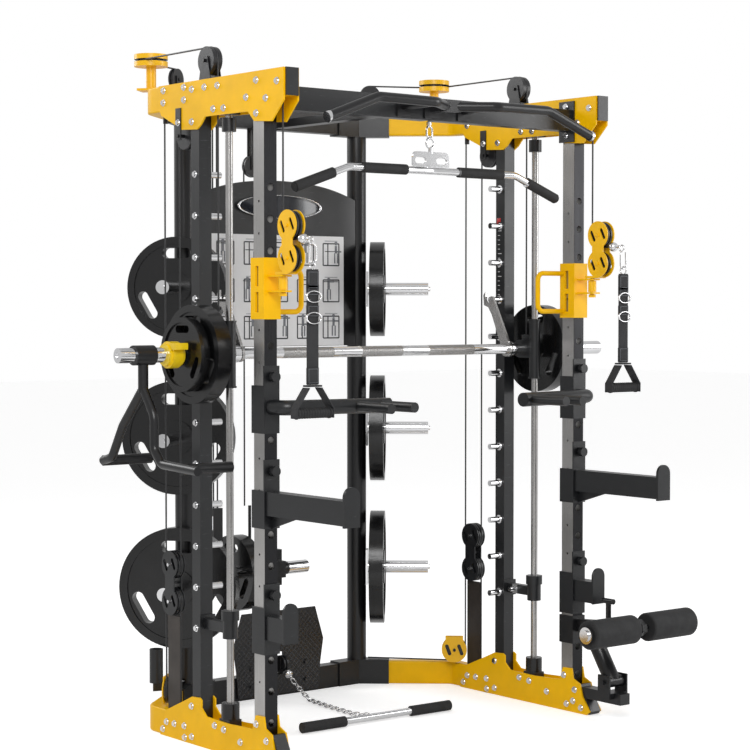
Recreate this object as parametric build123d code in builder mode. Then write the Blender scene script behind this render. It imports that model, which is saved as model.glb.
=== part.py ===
"""Smith machine with a cable trainer, a lat and low-row station and its attachments.

Millimetres. The layout below is written from the front uprights: X = 0 is the symmetry plane, +X is
the right-hand side seen from the front, Y = 0 is the centre of the front uprights, +Y points to the
rear and Z = 0 is the floor. save() shifts every piece so that the origin is the footprint's centre.
"""
from build123d import *
import math
import os

os.makedirs("parts", exist_ok=True)

# ---- driving dimensions ----
MIDDLE_DEPTH = 307              # footprint's centre behind the front uprights
SIDE = 702                      # side frames' centre plane
TUBE_W, TUBE_H, WALL = 50, 90, 3
INNER, OUTER = SIDE - TUBE_W / 2, SIDE + TUBE_W / 2
PLATE = 6                       # side plates and brackets
RAIL_TOP = TUBE_H               # base frame's top face
BEAM_LOW, BEAM_TOP = 2186, 2276 # top frame's lower and upper faces
CORNER = (SIDE, 678)            # where the side rails turn inwards
COLUMN = (408, 930)             # rear column's axis
ARM = math.dist(CORNER, COLUMN)
AX, AY = (COLUMN[0] - CORNER[0]) / ARM, (COLUMN[1] - CORNER[1]) / ARM   # along the arm, rearwards
NX, NY = AY, -AX                # arm's outward normal
MID_Y = 375                     # middle uprights
COLUMN_R = 38
ROD_Y, ROD_R = 207, 12.5        # bar guide rods
RUN = 0.05                      # radial clearance of running fits
BAR_Y, BAR_Z, BAR_R = 272, 1348, 19
SLEEVE_R, BAR_END = 25, 1100    # bar sleeves' radius and the bar's half-length
SEAT_R = 24.6                   # slimmer seat that fitted plates sit on
PEG_FIRST, PEG_PITCH, PEG_COUNT = 403, 141.5, 12
ROPE_R, GROOVE_W, RIM, WHEEL_W = 3, 6.8, 2, 20
PIN_R = 6                       # wheel pins
BALANCE_X = SIDE + 7            # bar rope, beside the trainer rope
BALANCE_Z = 2385                # bar rope's height above the top frame
TOP_PULLEY = (308, BALANCE_Z - 46)      # bar rope's big pulley (y, z)
TRAINER_Y, BLOCK_Y = -100, 557  # trainer rope's front strand and the lift block's centre
HORN_LEVELS = ((1578, 375), (1024, 420), (467, 448))    # storage: height, plate diameter
LAT_Y, REAR_ROPE_Y = 0, 980     # lat rope in front and behind
WEIGHT_Z = 490                  # weight carriage's horn


# ---- helpers ----
def save(builder, name):
    """Moves a finished sub-part to the shared origin and exports it."""
    moved = Pos(0, -MIDDLE_DEPTH, 0) * builder.part
    moved.label = name
    export_step(moved, f"parts/{name}.step")


def block(x, y, z, mode=Mode.ADD):
    """Box between three pairs of limits."""
    with Locations(((x[0] + x[1]) / 2, (y[0] + y[1]) / 2, (z[0] + z[1]) / 2)):
        Box(abs(x[1] - x[0]), y[1] - y[0], z[1] - z[0], mode=mode)


def rod(start, end, radius, mode=Mode.ADD):
    """Round bar between two points."""
    axis = Vector(*end) - Vector(*start)
    with Locations(Plane(origin=start, z_dir=axis)):
        Cylinder(radius, axis.length, align=(Align.CENTER, Align.CENTER, Align.MIN), mode=mode)


def prism(points, plane, depth, mode=Mode.ADD):
    """Straight extrusion of a closed outline."""
    with BuildSketch(plane) as outline:
        Polygon(*points, align=None)
    extrude(outline.sketch, amount=depth, mode=mode)


def bent(points, bends, radius, hole=0):
    """Round bar or tube along a route with rounded bends."""
    with BuildLine() as route:
        FilletPolyline(*points, radius=bends)
    with BuildSketch(route.line ^ 0) as section:
        Circle(radius)
        if hole:
            Circle(hole, mode=Mode.SUBTRACT)
    sweep(section.sketch, path=route.line)


def wheel(centre, axis, rope_radius, width=WHEEL_W):
    """Grooved wheel whose rope runs at the given radius, bored for a pin."""
    flange = (width - GROOVE_W) / 2
    with Locations(Plane(origin=centre, z_dir=axis)):
        Cylinder(rope_radius - ROPE_R - 0.4, width)
        with Locations((0, 0, (GROOVE_W + flange) / 2), (0, 0, -(GROOVE_W + flange) / 2)):
            Cylinder(rope_radius + RIM, flange)
        Cylinder(PIN_R + RUN, width, mode=Mode.SUBTRACT)


def arm_plane(along, outward, z):
    """Plane facing forwards along the right arm, at a distance from the rear column's axis."""
    x = COLUMN[0] - AX * along + NX * outward
    y = COLUMN[1] - AY * along + NY * outward
    return Plane(origin=(x, y, z), x_dir=(NX, NY, 0), z_dir=(-AX, -AY, 0))


def lobes(x, thickness, centre_y, levels, radius, waist):
    """Figure-of-eight cheek plate standing across X, with two slanting windows in each lobe."""
    with BuildSketch(Plane.YZ.offset(x)) as cheek:
        with Locations(*[(centre_y, z) for z in levels]):
            Circle(radius)
        with Locations((centre_y, sum(levels) / 2)):
            Rectangle(2 * waist, levels[0] - levels[1])
        for z in levels:
            with Locations(Location((centre_y - 0.5 * radius, z + 4), 62)):
                SlotOverall(0.9 * radius, 0.28 * radius, mode=Mode.SUBTRACT)
            with Locations(Location((centre_y + 0.5 * radius, z - 4), 62)):
                SlotOverall(0.9 * radius, 0.28 * radius, mode=Mode.SUBTRACT)
    extrude(cheek.sketch, amount=thickness)


def rail(z, start):
    """Rectangular side tube from its front end round the rear corner to the column."""
    stop = (COLUMN[0] - AX * 10, COLUMN[1] - AY * 10, z)
    with BuildLine() as route:
        FilletPolyline((SIDE, start, z), (*CORNER, z), stop, radius=60)
    with BuildSketch(Plane(origin=(SIDE, start, z), x_dir=(1, 0, 0), z_dir=(0, 1, 0))) as section:
        RectangleRounded(TUBE_W, TUBE_H, 6)
        RectangleRounded(TUBE_W - 2 * WALL, TUBE_H - 2 * WALL, 3, mode=Mode.SUBTRACT)
    sweep(section.sketch, path=route.line)


# ---- side rails ----
TOP_ROPE_Z = BEAM_TOP - 10      # trainer rope inside the top rail
TURN_R = 34                     # its two turning wheels
TURN_Z = TOP_ROPE_Z - TURN_R
LIFT_FRONT, LIFT_REAR = BLOCK_Y - 47, BLOCK_Y + 47      # strands on the lift block
BALANCE_DROP = (424, 924)       # bar rope going down into the column

with BuildPart() as base_rails:
    rail(TUBE_H / 2, -60)
    mirror(about=Plane.YZ)
save(base_rails, "base_rails")

with BuildPart() as top_rails:
    rail(BEAM_LOW + TUBE_H / 2, -147)
    rod((SIDE, TRAINER_Y, BEAM_LOW - 1), (SIDE, TRAINER_Y, BEAM_LOW + 20), 7, Mode.SUBTRACT)
    rod((SIDE, LIFT_FRONT, BEAM_LOW - 1), (SIDE, LIFT_FRONT, BEAM_LOW + 20), 7, Mode.SUBTRACT)
    for x, y in (BALANCE_DROP, (BALANCE_X, 262)):
        rod((x, y, BEAM_LOW - 1), (x, y, BEAM_TOP + 1), 7, Mode.SUBTRACT)
    mirror(about=Plane.YZ)
save(top_rails, "top_rails")

# ---- side plates over the joints of rails and uprights ----
TOP_PLATE = [(594, 2276), (593, 2196), (577, 2172), (491, 2135), (459, 2116), (356, 2110), (332, 2124),
             (306, 2150), (54, 2148), (18, 2114), (-80, 2107), (-146, 2171), (-146, 2276)]
BASE_PLATE = [(600, 0), (562, 92), (458, 137), (397, 164), (350, 167), (338, 160), (338, 134), (309, 109),
              (171, 106), (34, 113), (16, 161), (-30, 163), (-38, 125), (-74, 110), (-87, 64), (-126, 14),
              (-109, 0)]

with BuildPart() as gusset_plates:
    for outline in (TOP_PLATE, BASE_PLATE):
        prism(outline, Plane.YZ.offset(OUTER), PLATE)
        prism(outline, Plane.YZ.offset(INNER - PLATE), PLATE)
    mirror(about=Plane.YZ)
save(gusset_plates, "gusset_plates")

# ---- bolts through the side plates, heads on both faces ----
TOP_BOLTS = [(561, 2258), (562, 2216), (432, 2259), (383, 2248), (306, 2249), (228, 2248), (432, 2216),
             (384, 2138), (253, 2172), (192, 2170), (61, 2195), (-50, 2184), (-111, 2234)]
BASE_BOLTS = [(396, 132), (579, 23), (505, 53), (442, 56), (555, 52), (440, 16), (395, 26), (254, 88),
              (199, 83), (102, 57), (10, 133), (-47, 86), (-5, 27), (-39, 43), (-81, 23)]
FLANGE_BOLTS = [(4, 2246), (4, 2139)]
HANGER_BOLTS = [(463, 2140)]    # on the guide wheel's hangers
HANGER = 4
FLANGE_FACE = INNER - 2 * PLATE


def bolt_heads(points, x, outward):
    """Round heads on washers, standing off a face across X."""
    for y, z in points:
        rod((x, y, z), (x + outward * 2, y, z), 12)
        rod((x + outward * 2, y, z), (x + outward * 8, y, z), 8.5)


with BuildPart() as frame_bolts:
    bolt_heads(TOP_BOLTS + BASE_BOLTS + FLANGE_BOLTS, OUTER + PLATE, 1)
    bolt_heads(TOP_BOLTS + BASE_BOLTS, INNER - PLATE, -1)
    bolt_heads(FLANGE_BOLTS, FLANGE_FACE, -1)
    bolt_heads(HANGER_BOLTS, OUTER + PLATE + HANGER, 1)
    bolt_heads(HANGER_BOLTS, INNER - PLATE - HANGER, -1)
    bolt_heads([(MID_Y, PEG_FIRST + PEG_PITCH * k) for k in range(PEG_COUNT)], OUTER, 1)
    mirror(about=Plane.YZ)
save(frame_bolts, "frame_bolts")

# ---- uprights ----
HOLE_TOP, HOLE_PITCH, HOLE_COUNT = 1898, 103.5, 18
SIDE_HOLE_LOW, SIDE_HOLE_PITCH, SIDE_HOLE_COUNT = 273, 105.3, 16

with BuildPart() as front_uprights:
    block((INNER, OUTER), (-30, 30), (RAIL_TOP, BEAM_LOW))
    block((INNER + WALL, OUTER - WALL), (-30 + WALL, 30 - WALL), (RAIL_TOP, BEAM_LOW), Mode.SUBTRACT)
    with Locations(*[Plane(origin=(SIDE, 0, HOLE_TOP - HOLE_PITCH * k), z_dir=(0, 1, 0))
                     for k in range(HOLE_COUNT)]):
        Cylinder(12.5, 62, mode=Mode.SUBTRACT)
    with Locations(*[Plane(origin=(SIDE, 0, SIDE_HOLE_LOW + SIDE_HOLE_PITCH * k), z_dir=(1, 0, 0))
                     for k in range(SIDE_HOLE_COUNT)]):
        Cylinder(4, 52, mode=Mode.SUBTRACT)
    mirror(about=Plane.YZ)
save(front_uprights, "front_uprights")

with BuildPart() as mid_uprights:
    block((INNER, OUTER), (MID_Y - 25, MID_Y + 25), (RAIL_TOP, BEAM_LOW))
    block((INNER + WALL, OUTER - WALL), (MID_Y - 22, MID_Y + 22), (RAIL_TOP, BEAM_LOW), Mode.SUBTRACT)
    mirror(about=Plane.YZ)
save(mid_uprights, "mid_uprights")

# ---- rear columns and beams ----
BEAM_Y = (905, 955)
TIE_Z = (2190, 2220)            # central top tube
BASE_ROPE_Z = 101               # trainer rope along the base arm

with BuildPart() as rear_frame:
    rod((*COLUMN, RAIL_TOP + PLATE), (*COLUMN, BEAM_LOW - PLATE), COLUMN_R)
    rod((*COLUMN, RAIL_TOP + PLATE), (*COLUMN, BEAM_LOW - PLATE), COLUMN_R - WALL, Mode.SUBTRACT)
    rod((*COLUMN, BASE_ROPE_Z + 8), (COLUMN[0] - AX * 60, COLUMN[1] - AY * 60, BASE_ROPE_Z + 8), 9,
        Mode.SUBTRACT)
    mirror(about=Plane.YZ)
    for low in (0, BEAM_LOW):
        block((-398, 398), BEAM_Y, (low, low + TUBE_H))
        block((-398, 398), (BEAM_Y[0] + WALL, BEAM_Y[1] - WALL), (low + WALL, low + TUBE_H - WALL),
              Mode.SUBTRACT)
    block((-25, 25), (75, BEAM_Y[0]), TIE_Z)
    block((-25 + WALL, 25 - WALL), (75, BEAM_Y[0]), (TIE_Z[0] + WALL, TIE_Z[1] - WALL), Mode.SUBTRACT)
save(rear_frame, "rear_frame")


# ---- brackets and end caps ----
def corner_path(offset):
    """Plan points of the rear corner's outline, offset from the tubes' centre line."""
    fold = math.atan2(AY, -AX) / 2
    stretch = offset / math.cos(fold)
    return [(COLUMN[0] - AX * 130 + NX * offset, COLUMN[1] - AY * 130 + NY * offset),
            (COLUMN[0] + math.sin(fold) * stretch, COLUMN[1] + math.cos(fold) * stretch),
            (COLUMN[0] - 110, COLUMN[1] + offset)]


def corner_bracket(low, cap_low):
    """Two folded plates on the faces of a rear corner, joined by a cap plate over the column's end."""
    plane = Plane.XY.offset(low)
    for near, far in ((25, 25 + PLATE), (-25 - PLATE, -25)):
        prism(corner_path(near) + corner_path(far)[::-1], plane, TUBE_H)
    prism(corner_path(25 + PLATE) + corner_path(-25 - PLATE)[::-1], Plane.XY.offset(cap_low), PLATE)


LANDMINE_Y, LANDMINE_Z = -213, 139
HOLDER = (563, 892)             # upright bar holder beside the left arm

with BuildPart() as frame_brackets:
    corner_bracket(0, RAIL_TOP)
    corner_bracket(BEAM_LOW, BEAM_LOW - PLATE)
    rod((*BALANCE_DROP, BEAM_LOW - 20), (*BALANCE_DROP, BEAM_LOW + 1), 7, Mode.SUBTRACT)
    prism([(-60, 2), (-60, 108), (-73, 108), (-127, 14), (-118, 2)], Plane.YZ.offset(INNER), TUBE_W)
    block((INNER, OUTER), (-153, -147), (BEAM_LOW, BEAM_TOP))
    block((INNER, OUTER), (ROD_Y - 30, ROD_Y + 30), (RAIL_TOP, 115))
    block((INNER, OUTER), (ROD_Y - 30, ROD_Y + 30), (2150, BEAM_LOW))
    rod((SIDE, ROD_Y, 2094), (SIDE, ROD_Y, 2139), 24)
    rod((SIDE, ROD_Y, 2094), (SIDE, ROD_Y, 2139), ROD_R + RUN, Mode.SUBTRACT)
    mirror(about=Plane.YZ)
    prism([(-276, 60), (-100.6, 60), (-77.6, 100), (-276, 100)], Plane.YZ.offset(SIDE - 24), 48)
    for x in (SIDE - 47, SIDE + 41):
        block((x, x + PLATE), (LANDMINE_Y - 30, LANDMINE_Y + 30), (80, LANDMINE_Z + 26))
    block((SIDE - 47, SIDE + 47), (LANDMINE_Y - 30, LANDMINE_Y + 30), (80, 100))
    rod((SIDE - 56, LANDMINE_Y, LANDMINE_Z), (SIDE + 56, LANDMINE_Y, LANDMINE_Z), 8)
    rod((-HOLDER[0], HOLDER[1], 120), (-HOLDER[0], HOLDER[1], 245), 25)
    rod((-HOLDER[0], HOLDER[1], 126), (-HOLDER[0], HOLDER[1], 246), 22, Mode.SUBTRACT)
    prism([(-HOLDER[0] - 20, HOLDER[1] - 8), (-HOLDER[0] + 20, HOLDER[1] + 8), (-484, 900), (-524, 866)],
          Plane.XY.offset(RAIL_TOP), 30)
save(frame_brackets, "frame_brackets")

# ---- front cross beam, with a window for the lat wheel ----
FRONT_BEAM_Z = (2155, 2233)
LAT_WHEEL_R = 32
LAT_WHEEL_Z = 2196

with BuildPart() as front_cross_beam:
    block((-665, 665), (-25, 25), FRONT_BEAM_Z)
    block((-665, 665), (-22, 22), (FRONT_BEAM_Z[0] + WALL, FRONT_BEAM_Z[1] - WALL), Mode.SUBTRACT)
    block((-14, 14), (-8, 26), (FRONT_BEAM_Z[0] - 1, FRONT_BEAM_Z[1] + 1), Mode.SUBTRACT)
    block((FLANGE_FACE, INNER - PLATE), (-38, 40), (2115, 2265))
    block((-INNER + PLATE, -FLANGE_FACE), (-38, 40), (2115, 2265))
save(front_cross_beam, "front_cross_beam")

# ---- bar guide rods, their bumpers and the locking pegs ----
with BuildPart() as guide_rods:
    rod((SIDE, ROD_Y, 115), (SIDE, ROD_Y, 2150), ROD_R)
    mirror(about=Plane.YZ)
save(guide_rods, "guide_rods")

with BuildPart() as rod_bumpers:
    rod((SIDE, ROD_Y, 115), (SIDE, ROD_Y, 169), 31)
    rod((SIDE, ROD_Y, 115), (SIDE, ROD_Y, 169), ROD_R + RUN, Mode.SUBTRACT)
    mirror(about=Plane.YZ)
save(rod_bumpers, "rod_bumpers")

PEG_TIP = 624
with BuildPart() as lock_pegs:
    for k in range(PEG_COUNT):
        height = PEG_FIRST + PEG_PITCH * k
        rod((INNER, MID_Y, height), (PEG_TIP, MID_Y, height), 11)
        rod((INNER, MID_Y, height), (INNER - 5, MID_Y, height), 16)
    mirror(about=Plane.YZ)
save(lock_pegs, "lock_pegs")

# ---- pull-up bar ----
PULL_UP_R = 17
with BuildPart() as pull_up_bar:
    bent([(21, -115, 2197), (137, -201, 2197), (383, -196, 2199), (587, -198, 2123)], [50, 60], PULL_UP_R)
    rod((587, -198, 2123), (598, -198, 2119), PULL_UP_R + 1.5)
    rod((137, -193, 2197), (137, -31, 2197), 14)
    block((107, 167), (-31, -25), (2160, 2230))
    mirror(about=Plane.YZ)
    block((-34, 34), (-132, -98), (2178, 2216))
    block((-20, 20), (-98, -31), (2183, 2211))
    block((-45, 45), (-31, -25), (2160, 2230))
save(pull_up_bar, "pull_up_bar")

# ---- storage horns and their plates ----
HORN_R, HORN_SEAT, HORN_END = 25, 114, 286

with BuildPart() as storage_horns:
    for height, diameter in HORN_LEVELS:
        with Locations(arm_plane(COLUMN_R + 4, 0, height)):
            Box(64, 140, 8)
        with Locations(arm_plane(COLUMN_R + 4, 0, height)):
            Cylinder(SEAT_R, HORN_SEAT - COLUMN_R - 4, align=(Align.CENTER, Align.CENTER, Align.MIN))
        with Locations(arm_plane(HORN_SEAT, 0, height)):
            Cylinder(HORN_R, HORN_END - HORN_SEAT, align=(Align.CENTER, Align.CENTER, Align.MIN))
        with Locations(arm_plane(HORN_END, 0, height)):
            Cylinder(9, 8, align=(Align.CENTER, Align.CENTER, Align.MIN))
    mirror(about=Plane.YZ)
save(storage_horns, "storage_horns")

DISC_START, DISC_THICK = 56, 56


def tri_grip_disc(plane, diameter, thickness, bore):
    """Rubber disc with a raised rim and hub and three hand grips, on a plane at its back face."""
    with BuildSketch(plane) as face:
        Circle(diameter / 2)
        Circle(bore, mode=Mode.SUBTRACT)
        with PolarLocations(0.68 * diameter / 2, 3, start_angle=90):
            with Locations(Rotation(0, 0, 90)):
                SlotOverall(0.48 * diameter / 2 + 20, 0.2 * diameter / 2, mode=Mode.SUBTRACT)
    extrude(face.sketch, amount=thickness)
    with BuildSketch(plane.offset(thickness - 6)) as dish:
        Circle(0.86 * diameter / 2)
        Circle(0.3 * diameter / 2, mode=Mode.SUBTRACT)
    extrude(dish.sketch, amount=6, mode=Mode.SUBTRACT)


with BuildPart() as storage_plates:
    for height, diameter in HORN_LEVELS:
        tri_grip_disc(arm_plane(DISC_START, 0, height), diameter, DISC_THICK, HORN_R + RUN)
    mirror(about=Plane.YZ)
save(storage_plates, "storage_plates")

# ---- rear shield, badge and exercise chart ----
SHIELD_Y = 893
SHIELD_Z = 1355
with BuildPart() as rear_shield:
    with BuildSketch(Plane.XZ.offset(-SHIELD_Y - 3)) as face:
        with BuildLine():
            Polyline((372, 1927), (372, SHIELD_Z), (-372, SHIELD_Z), (-372, 1927))
            Spline((-372, 1927), (-300, 1953), (-190, 1978), (0, 1991), (190, 1978), (300, 1953), (372, 1927))
        make_face()
    extrude(amount=3)
    for x in (-370, 356):
        for height in (1480, 1820):
            block((x, x + 14), (SHIELD_Y + 3, COLUMN[1] + 4), (height, height + 40))
save(rear_shield, "rear_shield")

with BuildPart() as exercise_chart:
    block((-313, 313), (SHIELD_Y - 1.5, SHIELD_Y), (1357, 1783))
save(exercise_chart, "exercise_chart")

BADGE_Z = 1891
with BuildPart() as shield_badge:
    with BuildSketch(Plane.XZ.offset(-SHIELD_Y)) as glass:
        with Locations((0, BADGE_Z)):
            Ellipse(197, 47)
    extrude(amount=5)
    with BuildSketch(Plane.XZ.offset(-SHIELD_Y + 5)) as rim:
        with Locations((0, BADGE_Z)):
            Ellipse(197, 47)
            Ellipse(188, 38, mode=Mode.SUBTRACT)
    extrude(amount=4)
save(shield_badge, "shield_badge")

# ---- foot plate ----
FOOT_Y = (897, 901)
LOW_WHEEL = (880, 127)          # low-row wheel (y, z)
LOW_WHEEL_R = 32
with BuildPart() as footplate:
    prism([(-175, 333), (175, 333), (215, 204), (200, 111), (192, 10), (-192, 10), (-200, 111),
           (-215, 204)], Plane.XZ.offset(-FOOT_Y[1]), FOOT_Y[1] - FOOT_Y[0])
    block((-16, 16), (FOOT_Y[0] - 1, FOOT_Y[1] + 1), (84, 172), Mode.SUBTRACT)
    for x in (-130, 130):
        block((x - 20, x + 20), (FOOT_Y[1], BEAM_Y[0]), (20, 80))
        rod((x, FOOT_Y[0], 119), (x, FOOT_Y[0] - 6, 119), 9)
        rod((x, FOOT_Y[0], 50), (x, FOOT_Y[0] - 6, 50), 9)
save(footplate, "footplate")

# ---- wheel pins and their brackets ----
BALANCE_WHEEL = (458, 907)      # bar rope's small wheel over the column (x, y)
BALANCE_R = 38
BALANCE_DIR = (-0.895, 0.446)
CORNER_WHEEL = (BALANCE_X - 46, 753.5)
UNDER_WHEEL = (466, 2095)       # guide wheel under the top rail (y, z)
BASE_WHEEL = (SIDE + AX * 44, LIFT_REAR + AY * 44, BASE_ROPE_Z + 44)
REAR_WHEEL = (948, 2313)        # lat rope's rear wheel (y, z)
SPARE_WHEEL = (-97, 932, 2044)  # weight rope's hanging wheel
REST_TOP = 423                  # flat guard under each lift block

with BuildPart() as pulley_brackets:
    for x in (BALANCE_X - 23, BALANCE_X + 20):
        prism([(TOP_PULLEY[0] - 34, BEAM_TOP), (TOP_PULLEY[0] + 34, BEAM_TOP),
               (TOP_PULLEY[0] + 16, TOP_PULLEY[1] + 14), (TOP_PULLEY[0] - 16, TOP_PULLEY[1] + 14)],
              Plane.YZ.offset(x), 3)
    rod((BALANCE_X - 30, *TOP_PULLEY), (BALANCE_X + 30, *TOP_PULLEY), PIN_R)
    small = Plane(origin=(*BALANCE_WHEEL, BEAM_TOP), x_dir=(*BALANCE_DIR, 0), z_dir=(0, 0, 1))
    with Locations(small):
        for side in (-13.5, 13.5):
            with Locations((0, side, 0)):
                Box(36, 3, 84, align=(Align.CENTER, Align.CENTER, Align.MIN))
    with Locations(Plane(origin=(*BALANCE_WHEEL, BALANCE_Z - BALANCE_R),
                         z_dir=(BALANCE_DIR[1], -BALANCE_DIR[0], 0))):
        Cylinder(PIN_R, 36)
    for y in (TRAINER_Y + TURN_R, LIFT_FRONT - TURN_R):
        rod((INNER + WALL, y, TURN_Z), (OUTER - WALL, y, TURN_Z), PIN_R)
    rod((INNER - PLATE - 8, *UNDER_WHEEL), (OUTER + PLATE + 8, *UNDER_WHEEL), PIN_R)
    for x in (INNER - PLATE - HANGER, OUTER + PLATE):
        block((x, x + HANGER), (UNDER_WHEEL[0] - 16, UNDER_WHEEL[0] + 16), (UNDER_WHEEL[1] - 14, 2190))
    rod((SIDE, LIFT_REAR - 6, 2186), (SIDE, LIFT_REAR - 6, 2148), 9)
    for side in (-12, 12):
        with Locations(Plane(origin=(BASE_WHEEL[0] + NX * side, BASE_WHEEL[1] + NY * side, BASE_WHEEL[2]),
                             x_dir=(-AX, -AY, 0), z_dir=(NX, NY, 0))):
            Cylinder(PIN_R, 3)
    with Locations(Plane(origin=BASE_WHEEL, z_dir=(NX, NY, 0))):
        Cylinder(PIN_R, 44)
    block((SIDE - 3, SIDE + 3), (BLOCK_Y - 44, BLOCK_Y + 32), (RAIL_TOP, REST_TOP))
    mirror(about=Plane.YZ)
    for x in (-20, 14):
        block((x, x + 6), (25, 75), TIE_Z)
        block((x, x + 6), (BEAM_Y[0], BEAM_Y[1] + 12), (BEAM_TOP, REAR_WHEEL[1] + 14))
        block((x, x + 6), (LOW_WHEEL[0] - 16, FOOT_Y[0]), (LOW_WHEEL[1] - 18, LOW_WHEEL[1] + 24))
    rod((-22, LAT_Y + LAT_WHEEL_R, LAT_WHEEL_Z), (22, LAT_Y + LAT_WHEEL_R, LAT_WHEEL_Z), PIN_R)
    rod((-22, *REAR_WHEEL), (22, *REAR_WHEEL), PIN_R)
    rod((-22, *LOW_WHEEL), (22, *LOW_WHEEL), PIN_R)
    for y in (SPARE_WHEEL[1] - 15, SPARE_WHEEL[1] + 12):
        block((SPARE_WHEEL[0] - 14, SPARE_WHEEL[0] + 14), (y, y + 3), (SPARE_WHEEL[2] - 14, BEAM_LOW))
    rod((SPARE_WHEEL[0], SPARE_WHEEL[1] - 20, SPARE_WHEEL[2]),
        (SPARE_WHEEL[0], SPARE_WHEEL[1] + 20, SPARE_WHEEL[2]), PIN_R)
    for x in (-40, 40):
        rod((x, REAR_ROPE_Y, 45), (x, REAR_ROPE_Y, 2235), 10)
    for low in (33, 2235):
        block((-60, 60), (BEAM_Y[1], 1002), (low, low + 12))
    rod((0, REAR_ROPE_Y, 2230), (0, REAR_ROPE_Y, 2250), 8, Mode.SUBTRACT)
save(pulley_brackets, "pulley_brackets")

# ---- guide wheels ----
with BuildPart() as guide_pulleys:
    for y in (TRAINER_Y + TURN_R, LIFT_FRONT - TURN_R):
        wheel((SIDE, y, TURN_Z), (1, 0, 0), TURN_R)
    wheel((SIDE, *UNDER_WHEEL), (1, 0, 0), LIFT_FRONT - UNDER_WHEEL[0])
    wheel(BASE_WHEEL, (NX, NY, 0), 44)
    wheel((*BALANCE_WHEEL, BALANCE_Z - BALANCE_R), (BALANCE_DIR[1], -BALANCE_DIR[0], 0), BALANCE_R)
    mirror(about=Plane.YZ)
    wheel((0, LAT_Y + LAT_WHEEL_R, LAT_WHEEL_Z), (1, 0, 0), LAT_WHEEL_R)
    wheel((0, *REAR_WHEEL), (1, 0, 0), REAR_ROPE_Y - REAR_WHEEL[0])
    wheel((0, *LOW_WHEEL), (1, 0, 0), LOW_WHEEL_R)
    wheel(SPARE_WHEEL, (0, 1, 0), 40)
save(guide_pulleys, "guide_pulleys")

# ---- yellow corner wheels on their posts and the base wheels' covers ----
CORNER_DISC_R, CORNER_H = 60, 43
with BuildPart() as yellow_pulleys:
    with BuildSketch(Plane.XY.offset(BEAM_TOP)) as foot:
        with Locations(Location((CORNER_WHEEL[0] + 6, CORNER_WHEEL[1] - 10), math.degrees(math.atan2(AY, AX)))):
            Rectangle(70, 86)
    extrude(foot.sketch, amount=8)
    rod((*CORNER_WHEEL, BEAM_TOP + 8), (*CORNER_WHEEL, BALANCE_Z - CORNER_H / 2), 18)
    for low in (BALANCE_Z - CORNER_H / 2, BALANCE_Z + GROOVE_W / 2):
        rod((*CORNER_WHEEL, low), (*CORNER_WHEEL, low + CORNER_H / 2 - GROOVE_W / 2), CORNER_DISC_R)
    rod((*CORNER_WHEEL, BALANCE_Z - GROOVE_W / 2), (*CORNER_WHEEL, BALANCE_Z + GROOVE_W / 2), 42.6)
    for side in (-17, 13):
        with BuildSketch(Plane(origin=(BASE_WHEEL[0] + NX * side, BASE_WHEEL[1] + NY * side, BASE_WHEEL[2]),
                               x_dir=(-AX, -AY, 0), z_dir=(NX, NY, 0))) as cover:
            Circle(50)
            with Locations((0, -42)):
                Rectangle(70, 20)
            Circle(PIN_R + RUN, mode=Mode.SUBTRACT)
            for shift in (-24, 24):
                with Locations(Location((shift, 0), 70)):
                    SlotOverall(46, 14, mode=Mode.SUBTRACT)
        extrude(cover.sketch, amount=4)
    mirror(about=Plane.YZ)
save(yellow_pulleys, "yellow_pulleys")

with BuildPart() as top_pulleys:
    wheel((BALANCE_X, *TOP_PULLEY), (1, 0, 0), 46, 36)
    mirror(about=Plane.YZ)
save(top_pulleys, "top_pulleys")

# ---- bar carriage ----
CARRIAGE_Z = (1238, 1458)
EYE_Z = 1402
with BuildPart() as carriage_sleeves:
    rod((SIDE, ROD_Y, CARRIAGE_Z[0]), (SIDE, ROD_Y, CARRIAGE_Z[1]), 21)
    block((SIDE - 20, SIDE + 20), (ROD_Y, BAR_Y), (BAR_Z - 34, BAR_Z + 34))
    rod((SIDE - 20, BAR_Y, BAR_Z), (SIDE + 20, BAR_Y, BAR_Z), 34)
    block((SIDE - 5, BALANCE_X + 5), (ROD_Y + 10, 274), (EYE_Z - 26, EYE_Z - 2))
    rod((BALANCE_X, 262, EYE_Z - 2), (BALANCE_X, 262, EYE_Z), 8)
    for height in CARRIAGE_Z:
        rod((SIDE, ROD_Y, height - 3), (SIDE, ROD_Y, height + 3), 24)
    rod((SIDE - 30, BAR_Y, BAR_Z), (SIDE + 30, BAR_Y, BAR_Z), BAR_R + RUN, Mode.SUBTRACT)
    rod((SIDE, ROD_Y, CARRIAGE_Z[0] - 9), (SIDE, ROD_Y, CARRIAGE_Z[1] + 9), ROD_R + RUN, Mode.SUBTRACT)
    mirror(about=Plane.YZ)
save(carriage_sleeves, "carriage_sleeves")

# ---- bar ----
SEAT_END = 922                  # where the sleeve's full radius starts, outside the collar
with BuildPart() as barbell:
    rod((-740, BAR_Y, BAR_Z), (740, BAR_Y, BAR_Z), BAR_R)
    for side in (-1, 1):
        rod((side * 626, BAR_Y, BAR_Z), (side * 650, BAR_Y, BAR_Z), 30)
        rod((side * 740, BAR_Y, BAR_Z), (side * 750, BAR_Y, BAR_Z), 36)
        rod((side * 750, BAR_Y, BAR_Z), (side * SEAT_END, BAR_Y, BAR_Z), SEAT_R)
        rod((side * SEAT_END, BAR_Y, BAR_Z), (side * BAR_END, BAR_Y, BAR_Z), SLEEVE_R)
        rod((side * BAR_END, BAR_Y, BAR_Z), (side * (BAR_END - 4), BAR_Y, BAR_Z), 11, Mode.SUBTRACT)
save(barbell, "barbell")

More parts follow.
